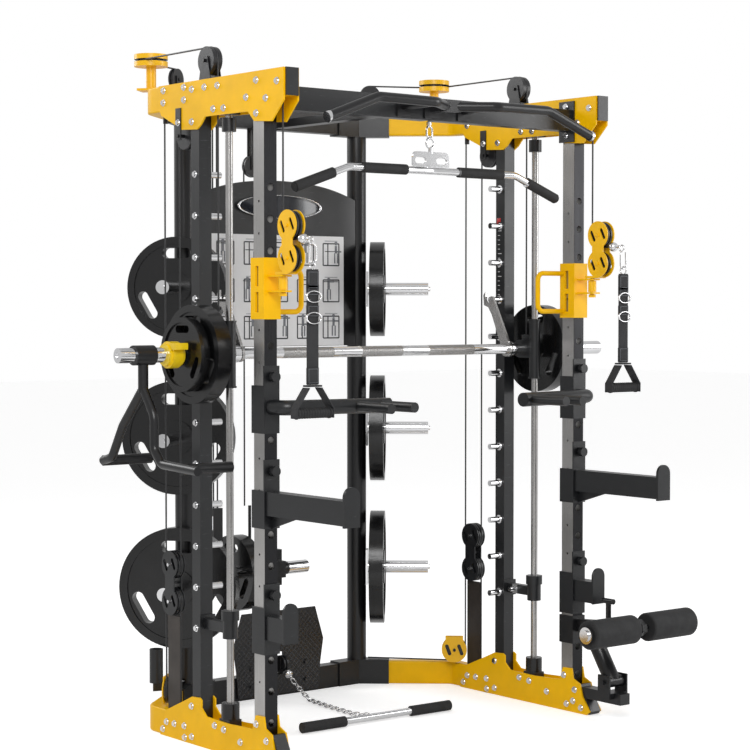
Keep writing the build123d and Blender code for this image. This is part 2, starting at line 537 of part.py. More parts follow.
HOOK_X = (612, 622)
PEG_Z = 1534.5                  # peg that the hooks meet at rest
with BuildPart() as bar_hooks:
    prism([(252, 1335), (292, 1325), (300, 1362), (352, 1478), (372, 1506), (396, 1514), (400, 1552),
           (388, 1566), (389, 1534.5), (380, 1522), (362, 1526), (357, 1548), (345, 1546), (334, 1520),
           (258, 1376)], Plane.YZ.offset(HOOK_X[0]), HOOK_X[1] - HOOK_X[0])
    rod((HOOK_X[0], BAR_Y, BAR_Z), (HOOK_X[1], BAR_Y, BAR_Z), 29)
    rod((HOOK_X[0] - 1, BAR_Y, BAR_Z), (HOOK_X[1] + 1, BAR_Y, BAR_Z), BAR_R + RUN, Mode.SUBTRACT)
    mirror(about=Plane.YZ)
save(bar_hooks, "bar_hooks")

BAR_DISCS = ((760, 333, 55), (820, 250, 35))    # start, diameter, thickness
with BuildPart() as bar_plates:
    for start, diameter, thick in BAR_DISCS:
        face = Plane(origin=(start, BAR_Y, BAR_Z), x_dir=(0, 1, 0), z_dir=(1, 0, 0))
        tri_grip_disc(face, diameter, thick, SLEEVE_R + RUN)
    mirror(about=Plane.YZ)
save(bar_plates, "bar_plates")

COLLAR_X = (860, 921)
with BuildPart() as bar_collars:
    rod((COLLAR_X[0], BAR_Y, BAR_Z), (COLLAR_X[1], BAR_Y, BAR_Z), 37)
    rod((COLLAR_X[0] + 12, BAR_Y, BAR_Z), (COLLAR_X[1] - 12, BAR_Y, BAR_Z), 45)
    block((COLLAR_X[0] + 6, COLLAR_X[1] - 6), (BAR_Y - 62, BAR_Y), (BAR_Z + 18, BAR_Z + 40))
    rod((COLLAR_X[0] - 1, BAR_Y, BAR_Z), (COLLAR_X[1] + 1, BAR_Y, BAR_Z), SLEEVE_R + RUN, Mode.SUBTRACT)
    mirror(about=Plane.YZ)
save(bar_collars, "bar_collars")

# ---- V row handle on the left bar sleeve ----
HANDLE_X, HANDLE_R = -1002, 15
with BuildPart() as row_handle:
    rod((-1041, BAR_Y, BAR_Z), (-964, BAR_Y, BAR_Z), 33)
    rod((-1042, BAR_Y, BAR_Z), (-963, BAR_Y, BAR_Z), SLEEVE_R + RUN, Mode.SUBTRACT)
    rod((HANDLE_X, BAR_Y, BAR_Z - 30), (HANDLE_X, BAR_Y, 1225), 17)
    bent([(HANDLE_X, BAR_Y, 1240), (HANDLE_X, 400, 1110), (HANDLE_X, 470, 1000), (HANDLE_X, 530, 985)],
         [60, 40], HANDLE_R)
    bent([(HANDLE_X, BAR_Y, 1240), (HANDLE_X, 205, 1150), (HANDLE_X, 205, 1040), (HANDLE_X, 160, 995),
          (HANDLE_X, -50, 985)], [60, 40, 30], HANDLE_R)
    for y in (530, 40):
        rod((HANDLE_X, y, 985), (HANDLE_X + 190, y, 985), 18)
save(row_handle, "row_handle")

# ---- lower stops on the guide rods ----
with BuildPart() as safety_stops:
    rod((SIDE, ROD_Y, 450), (SIDE, ROD_Y, 483), 31)
    rod((SIDE, ROD_Y, 388), (SIDE, ROD_Y, 450), 26)
    block((SIDE - 14, SIDE + 14), (ROD_Y + 10, MID_Y - 32), (405, 440))
    block((SIDE - 31, SIDE + 31), (MID_Y - 32, MID_Y - 26), (392, 452))
    rod((SIDE - 14, 300, 422), (SIDE - 40, 300, 422), 8)
    rod((SIDE, ROD_Y, 380), (SIDE, ROD_Y, 490), ROD_R + RUN, Mode.SUBTRACT)
    mirror(about=Plane.YZ)
save(safety_stops, "safety_stops")


# ---- cable trainer: trolley, swivelling pulley block, hook and strap on each side ----
UPPER_WHEEL_Z, LOWER_WHEEL_Z = 1770, 1665
BLOCK_FRONT_Y = TRAINER_Y - 45
EXIT_Z = UPPER_WHEEL_Z - 45
BALL_Y = -208


def trolley_solid():
    """Sleeve round the upright with a D handle and two pivot plates."""
    block((668, 736), (-40, 35), (1467, 1668))
    block((INNER - 0.5, OUTER + 0.5), (-30.5, 30.5), (1460, 1670), Mode.SUBTRACT)
    for low in (1490, 1575):
        block((660, 740), (-9, 9), (low, low + 66), Mode.SUBTRACT)
    bent([(668, 20, 1491), (541, 20, 1491), (541, 20, 1631), (668, 20, 1631)], [26, 26], 9)
    for height in (1558, 1608):
        block((SIDE - 20, SIDE + 20), (TRAINER_Y - 20, -40), (height - 3, height + 3))
        rod((SIDE, TRAINER_Y, height - 4), (SIDE, TRAINER_Y, height + 4), 8 + RUN, Mode.SUBTRACT)


def pulley_block_solid():
    """Pivot pin, base plate, two cheeks and two wheels, with the rope's turn round the upper wheel."""
    rod((SIDE, TRAINER_Y, 1546), (SIDE, TRAINER_Y, 1614), 8)
    rod((SIDE, TRAINER_Y, 1562), (SIDE, TRAINER_Y, 1604), 15)
    rod((SIDE, TRAINER_Y, 1542), (SIDE, TRAINER_Y, 1553), 13)
    block((SIDE - 19, SIDE + 19), (TRAINER_Y - 50, TRAINER_Y + 18), (1612, 1621))
    for x in (SIDE - 19, SIDE + 15):
        lobes(x, 4, BLOCK_FRONT_Y, (UPPER_WHEEL_Z, LOWER_WHEEL_Z), 50, 28)
    for height in (UPPER_WHEEL_Z, LOWER_WHEEL_Z):
        rod((SIDE - 24, BLOCK_FRONT_Y, height), (SIDE + 24, BLOCK_FRONT_Y, height), PIN_R)
    wheel((SIDE, BLOCK_FRONT_Y, UPPER_WHEEL_Z), (1, 0, 0), 45)
    wheel((SIDE, BLOCK_FRONT_Y, LOWER_WHEEL_Z), (1, 0, 0), 40)
    bent([(SIDE, TRAINER_Y, UPPER_WHEEL_Z + 2), (SIDE, TRAINER_Y, EXIT_Z), (SIDE, BALL_Y + 17, EXIT_Z)],
         [45], ROPE_R)


def snap_hook_solid():
    """Stop ball, ring and spring hook at the rope's end."""
    with Locations((SIDE, BALL_Y, EXIT_Z)):
        Sphere(17)
    rod((SIDE, BALL_Y - 15, EXIT_Z), (SIDE, BALL_Y - 34, EXIT_Z), 5)
    with Locations(Plane(origin=(SIDE, BALL_Y - 42, EXIT_Z - 6), z_dir=(1, 0, 0))):
        Torus(11, 3)
    bent([(SIDE, -258, EXIT_Z - 14), (SIDE - 14, -258, EXIT_Z - 26), (SIDE - 14, -258, EXIT_Z - 72),
          (SIDE + 2, -258, EXIT_Z - 84), (SIDE + 14, -258, EXIT_Z - 70), (SIDE + 12, -258, EXIT_Z - 20)],
         [8, 12, 12, 12], 3.2)


def strap_solid(grip_z):
    """Webbing with two D rings and a triangular hand grip."""
    top = EXIT_Z - 98
    block((SIDE - 24, SIDE + 24), (-260, -256), (grip_z + 92, top))
    with Locations(Plane(origin=(SIDE, -258, top + 11.5), z_dir=(1, 0, 0))):
        Torus(14, 2.5)
    for height in (1550, 1482):
        rod((SIDE - 30, -252, height), (SIDE + 30, -252, height), 3.4)
        bent([(SIDE - 30, -252, height), (SIDE - 28, -252, height - 26), (SIDE + 28, -252, height - 26),
              (SIDE + 30, -252, height)], [14, 14], 3.4)
    for side in (-1, 1):
        prism([(SIDE + side * 22, grip_z + 96), (SIDE + side * 24, grip_z + 78),
               (SIDE + side * 70, grip_z + 14), (SIDE + side * 70, grip_z - 14),
               (SIDE + side * 76, grip_z - 14), (SIDE + side * 76, grip_z + 16),
               (SIDE + side * 30, grip_z + 84)][::-side], Plane.XZ.offset(238), 40)
    rod((SIDE - 70, -258, grip_z), (SIDE + 70, -258, grip_z), 17)


def lift_block_solid():
    """Two cheeks and two wheels, with the ropes' turns round them."""
    for x in (SIDE - 18, SIDE + 14):
        lobes(x, 4, BLOCK_Y, (604, 474), 49, 28)
    for height in (604, 474):
        rod((SIDE - 25, BLOCK_Y, height), (SIDE + 25, BLOCK_Y, height), PIN_R)
        wheel((SIDE, BLOCK_Y, height), (1, 0, 0), 47)
    block((SIDE - 14, SIDE + 14), (BLOCK_Y - 14, BLOCK_Y + 14), (536, 542))
    for height, bottom in ((604, -47), (474, 47)):
        bent([(SIDE, LIFT_FRONT, height), (SIDE, LIFT_FRONT, height + bottom),
              (SIDE, LIFT_REAR, height + bottom), (SIDE, LIFT_REAR, height)], [46.95, 46.95], ROPE_R)


with BuildPart() as trolley_right:
    trolley_solid()
with BuildPart() as pulley_block_right:
    pulley_block_solid()
with BuildPart() as snap_hook_right:
    snap_hook_solid()
with BuildPart() as hand_strap_right:
    strap_solid(1216)
with BuildPart() as floating_block_right:
    lift_block_solid()
with BuildPart() as trolley_left:
    add(mirror(trolley_right.part, about=Plane.YZ, mode=Mode.PRIVATE))
with BuildPart() as pulley_block_left:
    add(mirror(pulley_block_right.part, about=Plane.YZ, mode=Mode.PRIVATE))
with BuildPart() as snap_hook_left:
    add(mirror(snap_hook_right.part, about=Plane.YZ, mode=Mode.PRIVATE))
with BuildPart() as hand_strap_left:
    with BuildPart(mode=Mode.PRIVATE) as longer_strap:
        strap_solid(1170)
    add(mirror(longer_strap.part, about=Plane.YZ, mode=Mode.PRIVATE))
with BuildPart() as floating_block_left:
    add(mirror(floating_block_right.part, about=Plane.YZ, mode=Mode.PRIVATE))

save(trolley_right, "trolley_right")
save(trolley_left, "trolley_left")
save(pulley_block_right, "pulley_block_right")
save(pulley_block_left, "pulley_block_left")
save(snap_hook_right, "snap_hook_right")
save(snap_hook_left, "snap_hook_left")
save(hand_strap_right, "hand_strap_right")
save(hand_strap_left, "hand_strap_left")
save(floating_block_right, "floating_block_right")
save(floating_block_left, "floating_block_left")


# ---- attachments that slide on the front uprights ----
def clamp_sleeve(low, high, front_low=None, front_high=None):
    """Square sleeve round the front upright; its front wall may reach further up or down."""
    block((INNER - 6, OUTER + 6), (-36, 36), (low, high))
    if front_high:
        block((INNER - 6, OUTER + 6), (-36, -30.5), (front_low, front_high))
    block((INNER - 0.5, OUTER + 0.5), (-30.5, 30.5), (low - 1, high + 1), Mode.SUBTRACT)


def clamp_knob(height):
    """Knurled clamping knob on the sleeve's front."""
    rod((SIDE, -36, height), (SIDE, -44, height), 9)
    rod((SIDE, -44, height), (SIDE, -62, height), 17)


with BuildPart() as spotter_arms:
    clamp_sleeve(781, 906, 781, 1008)
    clamp_knob(970)
    block((INNER, OUTER), (-453, -36), (825, 903))
    prism([(-36, 781), (-36, 825), (-180, 825)], Plane.YZ.offset(SIDE - 4), 8)
    with BuildSketch(Plane.XZ.offset(453)) as end:
        with Locations((SIDE, 868)):
            Rectangle(62, 96)
        with Locations((SIDE, 916)):
            Circle(31)
    extrude(end.sketch, amount=10)
    mirror(about=Plane.YZ)
save(spotter_arms, "spotter_arms")

with BuildPart() as j_hooks:
    clamp_sleeve(366, 520, 366, 599)
    clamp_knob(563)
    block((INNER, OUTER), (-132, -36), (416, 495))
    with BuildSketch(Plane.XZ.offset(132)) as end:
        with Locations((SIDE, 465)):
            Rectangle(60, 102)
        with Locations((SIDE, 516)):
            Circle(30)
    extrude(end.sketch, amount=8)
    mirror(about=Plane.YZ)
save(j_hooks, "j_hooks")

DIP_Z = 1179
with BuildPart() as dip_handles:
    clamp_sleeve(1093, 1250, 1093, 1315)
    clamp_knob(1279)
    bent([(SIDE - 1, -34, DIP_Z), (690, -95, DIP_Z), (305, -156, DIP_Z)], [35], 25)
    rod((433, -130, DIP_Z), (433, -327, DIP_Z - 2), 17)
    rod((343, -140, DIP_Z), (343, -336, DIP_Z), 17)
    block((INNER - 0.5, OUTER + 0.5), (-30.5, 30.5), (1090, 1300), Mode.SUBTRACT)
    mirror(about=Plane.YZ)
save(dip_handles, "dip_handles")

ROLLER_Y, ROLLER_Z, ROLLER_R = -345, 350, 51.5
ROLLERS = ((441, 670), (734, 962))
with BuildPart() as leg_roller_frame:
    clamp_sleeve(255, 358)
    prism([(-36, 300), (-36, 346), (-120, 352), (-330, 376), (-345, 382), (-372, 366), (-376, 340),
           (-352, 322), (-300, 318), (-120, 302)], Plane.YZ.offset(SIDE - 12), 24)
    rod((ROLLERS[0][0] - 4, ROLLER_Y, ROLLER_Z), (ROLLERS[1][1] + 4, ROLLER_Y, ROLLER_Z), ROD_R)
    for x, side in ((ROLLERS[0][0] - 2, -1), (ROLLERS[1][1] + 2, 1)):
        rod((x, ROLLER_Y, ROLLER_Z), (x + side * 8, ROLLER_Y, ROLLER_Z), 30)
        rod((x + side * 8, ROLLER_Y, ROLLER_Z), (x + side * 15, ROLLER_Y, ROLLER_Z), 20)
    rod((SIDE, -190, 350), (SIDE, -190, 430), 10)
    rod((SIDE, -164, 430), (SIDE, -216, 430), 10)
save(leg_roller_frame, "leg_roller_frame")

with BuildPart() as foam_rollers:
    for start, stop in ROLLERS:
        rod((start, ROLLER_Y, ROLLER_Z), (stop, ROLLER_Y, ROLLER_Z), ROLLER_R)
        rod((start, ROLLER_Y, ROLLER_Z), (stop, ROLLER_Y, ROLLER_Z), ROD_R + RUN, Mode.SUBTRACT)
save(foam_rollers, "foam_rollers")

LEAN = (0.55, 0.835)
with BuildPart() as landmine_tube:
    tip = (SIDE, LANDMINE_Y + LEAN[0] * 150, LANDMINE_Z + LEAN[1] * 150)
    base = (SIDE, LANDMINE_Y - LEAN[0] * 2, LANDMINE_Z - LEAN[1] * 2)
    rod(base, tip, 30)
    rod((SIDE, LANDMINE_Y + LEAN[0] * 40, LANDMINE_Z + LEAN[1] * 40), tip, 26, Mode.SUBTRACT)
    rod((SIDE - 38, LANDMINE_Y, LANDMINE_Z), (SIDE + 38, LANDMINE_Y, LANDMINE_Z), 22)
    rod((SIDE - 40, LANDMINE_Y, LANDMINE_Z), (SIDE + 40, LANDMINE_Y, LANDMINE_Z), 8 + RUN, Mode.SUBTRACT)
save(landmine_tube, "landmine_tube")

# ---- lat bar with its plate and hook ----
LAT_RING_Z = 2150
with BuildPart() as lat_bar:
    with BuildLine() as half:
        FilletPolyline((0, -12, 1981), (378, -30, 1979), (592, -16, 1904), radius=70)
    with BuildSketch(half.line ^ 0) as section:
        Circle(12.5)
    sweep(section.sketch, path=half.line)
    rod((120, -17.7, 1980.4), (318, -27.1, 1979.3), 18)
    rod((440, -26, 1957.3), (592, -16, 1904), 18)
    rod((592, -16, 1904), (598, -15.6, 1901.9), 14)
    mirror(about=Plane.YZ)
    with BuildSketch(Plane.XZ.offset(4)) as grip_plate:
        with Locations((0, 2016)):
            RectangleRounded(165, 62, 20)
        for x in (-48, 48):
            with Locations((x, 2016)):
                SlotOverall(50, 22, mode=Mode.SUBTRACT)
    extrude(grip_plate.sketch, amount=8)
    block((-16, 16), (-14, -2), (1985, 2000))
    rod((0, -8, 2040), (0, -8, 2062), 8)
    with Locations(Plane(origin=(0, -6, 2078), z_dir=(0, 1, 0))):
        Torus(17, 4)
    bent([(0, -4, 2092), (-14, -4, 2104), (-14, -4, 2128), (0, 0, 2142), (14, 0, 2128), (12, -2, 2100)],
         [8, 10, 10, 8], 3.6)
    rod((0, LAT_Y, 2140), (0, LAT_Y, 2152), 9)
save(lat_bar, "lat_bar")

# ---- weight carriage behind the shield ----
ROPE_END_Z = 745
with BuildPart() as weight_carriage:
    block((-60, 60), (960, 1000), (420, 560))
    block((-36, 36), (900, 962), (458, 522))
    rod((-300, 932, WEIGHT_Z), (155, 932, WEIGHT_Z), SLEEVE_R)
    rod((-132, 932, WEIGHT_Z), (-126, 932, WEIGHT_Z), 40)
    block((-292, -250), (914, 950), (505, ROPE_END_Z))
    block((-300, -240), (905, 960), (660, 715), Mode.SUBTRACT)
    block((-292, -250), (914, 918), (655, 720))
    rod((0, REAR_ROPE_Y, 560), (0, REAR_ROPE_Y, ROPE_END_Z), 6)
    rod((-113, 932, 505), (-113, 932, ROPE_END_Z), 6)
    for x in (-40, 40):
        rod((x, REAR_ROPE_Y, 419), (x, REAR_ROPE_Y, 561), 10 + RUN, Mode.SUBTRACT)
save(weight_carriage, "weight_carriage")

with BuildPart() as weight_plate:
    face = Plane(origin=(-200, 932, WEIGHT_Z), x_dir=(0, 1, 0), z_dir=(1, 0, 0))
    tri_grip_disc(face, 290, 56, SLEEVE_R + RUN)
save(weight_plate, "weight_plate")

# ---- low row: ball, chain and straight bar ----
LOW_ROPE_Z = LOW_WHEEL[1] - LOW_WHEEL_R
CHAIN = [(0, 838, LOW_ROPE_Z), (5, 800, 62), (0, 700, 14), (-10, 560, 12), (-20, 394, 12), (0, 306, 18)]
with BuildPart() as row_bar:
    rod((-338, 293, 20), (333, 275, 20), 13)
    rod((-338, 293, 20), (-150, 288, 20), 19)
    rod((333, 275, 20), (150, 279.9, 20), 19)
save(row_bar, "row_bar")

with BuildPart() as row_chain:
    with Locations(CHAIN[0]):
        Sphere(18)
    for first, second in zip(CHAIN[:-1], CHAIN[1:]):
        start, run = Vector(*first), Vector(*second) - Vector(*first)
        count = max(2, round(run.length / 24))
        for k in range(count):
            tilt = (0, 0, 1) if k % 2 else (1, 0, 0)
            here = start + run * ((k + 0.5) / count)
            with Locations(Plane(origin=here, x_dir=run, z_dir=Vector(*tilt).cross(run).cross(run))):
                Box(run.length / count + 4, 11, 5)
save(row_chain, "row_chain")

# ---- ropes ----
BLOCK_TOP = UNDER_WHEEL[1]


def lat_line(y):
    """Height of the lat rope where it runs over its two wheels."""
    front_y = LAT_Y + LAT_WHEEL_R
    slope = (REAR_WHEEL[1] - LAT_WHEEL_Z) / (REAR_WHEEL[0] - front_y)
    return LAT_WHEEL_Z + slope * (y - front_y) + LAT_WHEEL_R * math.hypot(1, slope)


with BuildPart() as frame_cables:
    bent([(SIDE, TRAINER_Y, 2190), (SIDE, TRAINER_Y, TOP_ROPE_Z), (SIDE, LIFT_FRONT, TOP_ROPE_Z),
          (SIDE, LIFT_FRONT, BLOCK_TOP)], [TURN_R, TURN_R], ROPE_R)
    rod((SIDE, LIFT_REAR, BLOCK_TOP), (SIDE, LIFT_REAR, 2148), ROPE_R)
    bent([(BALANCE_X, 262, TOP_PULLEY[1] - 4), (BALANCE_X, 262, BALANCE_Z), (BALANCE_X, 782, BALANCE_Z),
          (*BALANCE_DROP, BALANCE_Z), (*BALANCE_DROP, 2150)], [46, 46, BALANCE_R], ROPE_R)
    bent([(SIDE, LIFT_REAR, BASE_WHEEL[2] + 4), (SIDE, LIFT_REAR, BASE_ROPE_Z),
          (COLUMN[0] - AX * 46, COLUMN[1] - AY * 46, BASE_ROPE_Z)], [44], ROPE_R)
    mirror(about=Plane.YZ)
    bent([(0, LAT_Y, LAT_WHEEL_Z - 6), (0, LAT_Y, lat_line(LAT_Y)), (0, REAR_ROPE_Y, lat_line(REAR_ROPE_Y)),
          (0, REAR_ROPE_Y, SPARE_WHEEL[2])], [LAT_WHEEL_R, LAT_WHEEL_R], ROPE_R)
    rod((-280, 932, SPARE_WHEEL[2]), (-280, 932, BEAM_LOW), ROPE_R)
    rod((-262, 932, SPARE_WHEEL[2]), (-262, 932, BEAM_LOW), ROPE_R)
    rod((SPARE_WHEEL[0] + 40, 932, SPARE_WHEEL[2]), (SPARE_WHEEL[0] + 40, 932, BEAM_LOW), ROPE_R)
    bent([(0, 820 + 36, LOW_ROPE_Z), (0, LOW_WHEEL[0] + LOW_WHEEL_R, LOW_ROPE_Z),
          (0, LOW_WHEEL[0] + LOW_WHEEL_R, 330)], [LOW_WHEEL_R], ROPE_R)
save(frame_cables, "frame_cables")

with BuildPart() as bar_cables:
    rod((BALANCE_X, 262, EYE_Z), (BALANCE_X, 262, TOP_PULLEY[1] - 4), ROPE_R)
    mirror(about=Plane.YZ)
save(bar_cables, "bar_cables")

with BuildPart() as trolley_cable_right:
    rod((SIDE, TRAINER_Y, UPPER_WHEEL_Z + 2), (SIDE, TRAINER_Y, 2190), ROPE_R)
save(trolley_cable_right, "trolley_cable_right")

with BuildPart() as trolley_cable_left:
    rod((-SIDE, TRAINER_Y, UPPER_WHEEL_Z + 2), (-SIDE, TRAINER_Y, 2190), ROPE_R)
save(trolley_cable_left, "trolley_cable_left")

with BuildPart() as block_cable_right:
    for y in (LIFT_FRONT, LIFT_REAR):
        rod((SIDE, y, 604), (SIDE, y, BLOCK_TOP), ROPE_R)
save(block_cable_right, "block_cable_right")

with BuildPart() as block_cable_left:
    for y in (LIFT_FRONT, LIFT_REAR):
        rod((-SIDE, y, 604), (-SIDE, y, BLOCK_TOP), ROPE_R)
save(block_cable_left, "block_cable_left")

with BuildPart() as lat_cable:
    rod((0, LAT_Y, 2152), (0, LAT_Y, LAT_WHEEL_Z - 6), ROPE_R)
save(lat_cable, "lat_cable")

with BuildPart() as weight_cables:
    for x, y in ((0, REAR_ROPE_Y), (-280, 932), (-262, 932), (SPARE_WHEEL[0] - 40, 932)):
        rod((x, y, ROPE_END_Z), (x, y, SPARE_WHEEL[2]), ROPE_R)
save(weight_cables, "weight_cables")
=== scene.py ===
import bpy
import math
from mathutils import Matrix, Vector


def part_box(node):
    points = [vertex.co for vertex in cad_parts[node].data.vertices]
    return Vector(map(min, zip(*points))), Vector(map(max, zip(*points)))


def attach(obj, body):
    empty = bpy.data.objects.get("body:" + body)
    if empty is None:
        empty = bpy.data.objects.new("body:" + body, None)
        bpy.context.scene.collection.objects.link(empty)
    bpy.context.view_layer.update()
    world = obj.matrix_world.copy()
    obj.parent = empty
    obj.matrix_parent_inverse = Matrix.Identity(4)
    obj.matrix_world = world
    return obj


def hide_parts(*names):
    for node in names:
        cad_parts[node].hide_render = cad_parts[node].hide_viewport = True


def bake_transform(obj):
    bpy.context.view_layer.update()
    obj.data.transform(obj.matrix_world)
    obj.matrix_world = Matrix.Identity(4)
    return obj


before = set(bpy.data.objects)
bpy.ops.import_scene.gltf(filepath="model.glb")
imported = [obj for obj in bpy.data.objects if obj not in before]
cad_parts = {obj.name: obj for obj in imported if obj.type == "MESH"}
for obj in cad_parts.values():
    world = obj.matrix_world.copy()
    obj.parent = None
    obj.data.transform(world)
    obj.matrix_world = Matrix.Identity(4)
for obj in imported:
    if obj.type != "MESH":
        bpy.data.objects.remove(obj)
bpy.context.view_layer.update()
scene = bpy.context.scene

# Smith machine, metres, in the CAD's frame: +X right, +Y to the rear, +Z up.
# LEFT and RIGHT are the two side frames' centre planes.
SIDE = 0.702
LEFT, RIGHT = -SIDE, SIDE


def centre(node):
    """Middle of a CAD node's box."""
    low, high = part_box(node)
    return (Vector(low) + Vector(high)) / 2


# ---- camera ----
def place_camera():
    """Long lens from the front left, almost level."""
    data = bpy.data.cameras.new("view")
    data.lens = 95.36
    data.sensor_width = 36
    data.clip_end = 60
    eye = bpy.data.objects.new("view", data)
    eye.location = (-4.4916, -5.6213, 1.5086)
    eye.rotation_euler = (math.radians(90 - 1.974), 0, math.radians(-38.6515))
    scene.collection.objects.link(eye)
    scene.camera = eye


# ---- small shader helpers ----
def new_material(name):
    """Empty node material; returns it with its links, principled shader and object coordinates."""
    material = bpy.data.materials.new(name)
    material.use_nodes = True
    tree = material.node_tree
    shader = tree.nodes["Principled BSDF"]
    place = tree.nodes.new("ShaderNodeTexCoord").outputs["Object"]
    return material, tree, shader, place


def node(tree, kind, inputs=(), **settings):
    """Adds a node, sets its properties, then links or sets its inputs by name or number."""
    made = tree.nodes.new(kind)
    for key, value in settings.items():
        setattr(made, key, value)
    for key, value in dict(inputs).items():
        if isinstance(value, bpy.types.NodeSocket):
            tree.links.new(value, made.inputs[key])
        else:
            made.inputs[key].default_value = value
    return made


def maths(tree, operation, first, second=0.0, third=None):
    """One math node's result."""
    values = {0: first, 1: second}
    if third is not None:
        values[2] = third
    return node(tree, "ShaderNodeMath", values, operation=operation).outputs[0]


def between(tree, value, low, high, soft=0.0008):
    """1 where value lies between two limits, with a narrow soft edge."""
    rise = node(tree, "ShaderNodeMapRange", {0: value, 1: low - soft, 2: low, 3: 0.0, 4: 1.0}).outputs[0]
    fall = node(tree, "ShaderNodeMapRange", {0: value, 1: high, 2: high + soft, 3: 1.0, 4: 0.0}).outputs[0]
    return maths(tree, "MULTIPLY", rise, fall)


def blend_colours(tree, factor, first, second):
    """Mix of two colours."""
    mix = node(tree, "ShaderNodeMix", data_type="RGBA")
    for socket, value in ((mix.inputs[0], factor), (mix.inputs[6], first), (mix.inputs[7], second)):
        if isinstance(value, bpy.types.NodeSocket):
            tree.links.new(value, socket)
        else:
            socket.default_value = value
    return mix.outputs[2]


def blend_values(tree, factor, first, second):
    """Mix of two numbers."""
    return maths(tree, "MULTIPLY_ADD", factor, maths(tree, "SUBTRACT", second, first), first)


def rgb(colour):
    return (*colour, 1.0)


# ---- shared effects ----
def start_group(name, ins, outs):
    """Shader node group with named sockets; returns it with its input and output nodes."""
    group = bpy.data.node_groups.new(name, "ShaderNodeTree")
    for label, kind, value in ins:
        socket = group.interface.new_socket(label, in_out="INPUT", socket_type=kind)
        if value is not None:
            socket.default_value = value
    for label, kind in outs:
        group.interface.new_socket(label, in_out="OUTPUT", socket_type=kind)
    return group, group.nodes.new("NodeGroupInput"), group.nodes.new("NodeGroupOutput")


def make_coat_marks():
    """Cloudy patches, a fine orange-peel grain and sparse hairline scratches of a coated surface."""
    group, given, result = start_group(
        "coat_marks",
        [("Place", "NodeSocketVector", None), ("Patch", "NodeSocketFloat", 6.0),
         ("Grain", "NodeSocketFloat", 700.0)],
        [("Clouds", "NodeSocketFloat"), ("Peel", "NodeSocketFloat"), ("Scratches", "NodeSocketFloat")])
    place = given.outputs["Place"]
    clouds = node(group, "ShaderNodeTexNoise", {"Vector": place, "Scale": given.outputs["Patch"],
                                                "Detail": 5.0, "Roughness": 0.6})
    peel = node(group, "ShaderNodeTexNoise", {"Vector": place, "Scale": given.outputs["Grain"],
                                              "Detail": 2.0})
    stretch = node(group, "ShaderNodeMapping", {"Vector": given.outputs["Place"], "Rotation": (0.3, 0.5, 0.4),
                                                "Scale": (9.0, 160.0, 60.0)})
    hairs = node(group, "ShaderNodeTexNoise", {"Vector": stretch.outputs[0], "Scale": 3.0, "Detail": 3.0})
    sparse = node(group, "ShaderNodeMapRange", {0: hairs.outputs[0], 1: 0.66, 2: 0.74, 3: 0.0, 4: 1.0})
    group.links.new(clouds.outputs[0], result.inputs["Clouds"])
    group.links.new(peel.outputs[0], result.inputs["Peel"])
    group.links.new(sparse.outputs[0], result.inputs["Scratches"])
    return group


def make_knurl():
    """Crossed fine ridges round a bar that lies along X."""
    group, given, result = start_group(
        "knurl", [("Place", "NodeSocketVector", None), ("Pitch", "NodeSocketFloat", 700.0)],
        [("Height", "NodeSocketFloat")])
    waves = []
    for turn in (0.785, -0.785):
        tilt = node(group, "ShaderNodeMapping", {"Vector": given.outputs["Place"],
                                                 "Rotation": (0.6, 0.0, turn)})
        wave = node(group, "ShaderNodeTexWave", {"Vector": tilt.outputs[0], "Scale": given.outputs["Pitch"]},
                    wave_type="BANDS", bands_direction="X")
        waves.append(wave.outputs["Fac"])
    group.links.new(maths(group, "MULTIPLY", waves[0], waves[1]), result.inputs["Height"])
    return group


def make_weave():
    """Ribs and crossing threads of flat webbing that hangs along Z and faces Y."""
    group, given, result = start_group(
        "weave", [("Place", "NodeSocketVector", None)],
        [("Height", "NodeSocketFloat"), ("Thread", "NodeSocketFloat")])
    axes = node(group, "ShaderNodeSeparateXYZ", {0: given.outputs["Place"]})
    across = maths(group, "SINE", maths(group, "MULTIPLY", axes.outputs[0], 2600.0))
    along = maths(group, "SINE", maths(group, "MULTIPLY", axes.outputs[2], 3400.0))
    cross = maths(group, "MULTIPLY", across, along)
    ribs = maths(group, "SINE", maths(group, "MULTIPLY", axes.outputs[0], 520.0))
    group.links.new(maths(group, "MULTIPLY_ADD", ribs, 0.6, cross), result.inputs["Height"])
    group.links.new(maths(group, "MULTIPLY_ADD", cross, 0.5, 0.5), result.inputs["Thread"])
    return group


coat_marks = make_coat_marks()
knurl = make_knurl()
weave = make_weave()


def marks(tree, place, patch, grain):
    """Puts the coat_marks group into a material."""
    made = node(tree, "ShaderNodeGroup", node_tree=coat_marks)
    tree.links.new(place, made.inputs["Place"])
    made.inputs["Patch"].default_value = patch
    made.inputs["Grain"].default_value = grain
    return made.outputs["Clouds"], made.outputs["Peel"], made.outputs["Scratches"]


def bump(tree, height, strength, distance, under=None):
    """Bump node on a height, over an earlier one if given."""
    made = node(tree, "ShaderNodeBump", {"Height": height, "Strength": strength, "Distance": distance})
    if under is not None:
        tree.links.new(under, made.inputs["Normal"])
    return made.outputs[0]


class Finish:
    """Plain numbers of one surface finish."""

    def __init__(self, colour, rough, metallic=0.0, worn=None, vary=0.12, patch=6.0, grain=700.0, peel=0.15,
                 coat=0.0, scratch=0.4, gloss=0.5):
        self.colour, self.rough, self.metallic = colour, rough, metallic
        self.worn = worn or tuple(min(1.0, c * 1.25 + 0.02) for c in colour)
        self.vary, self.patch, self.grain, self.peel = vary, patch, grain, peel
        self.coat, self.scratch, self.gloss = coat, scratch, gloss


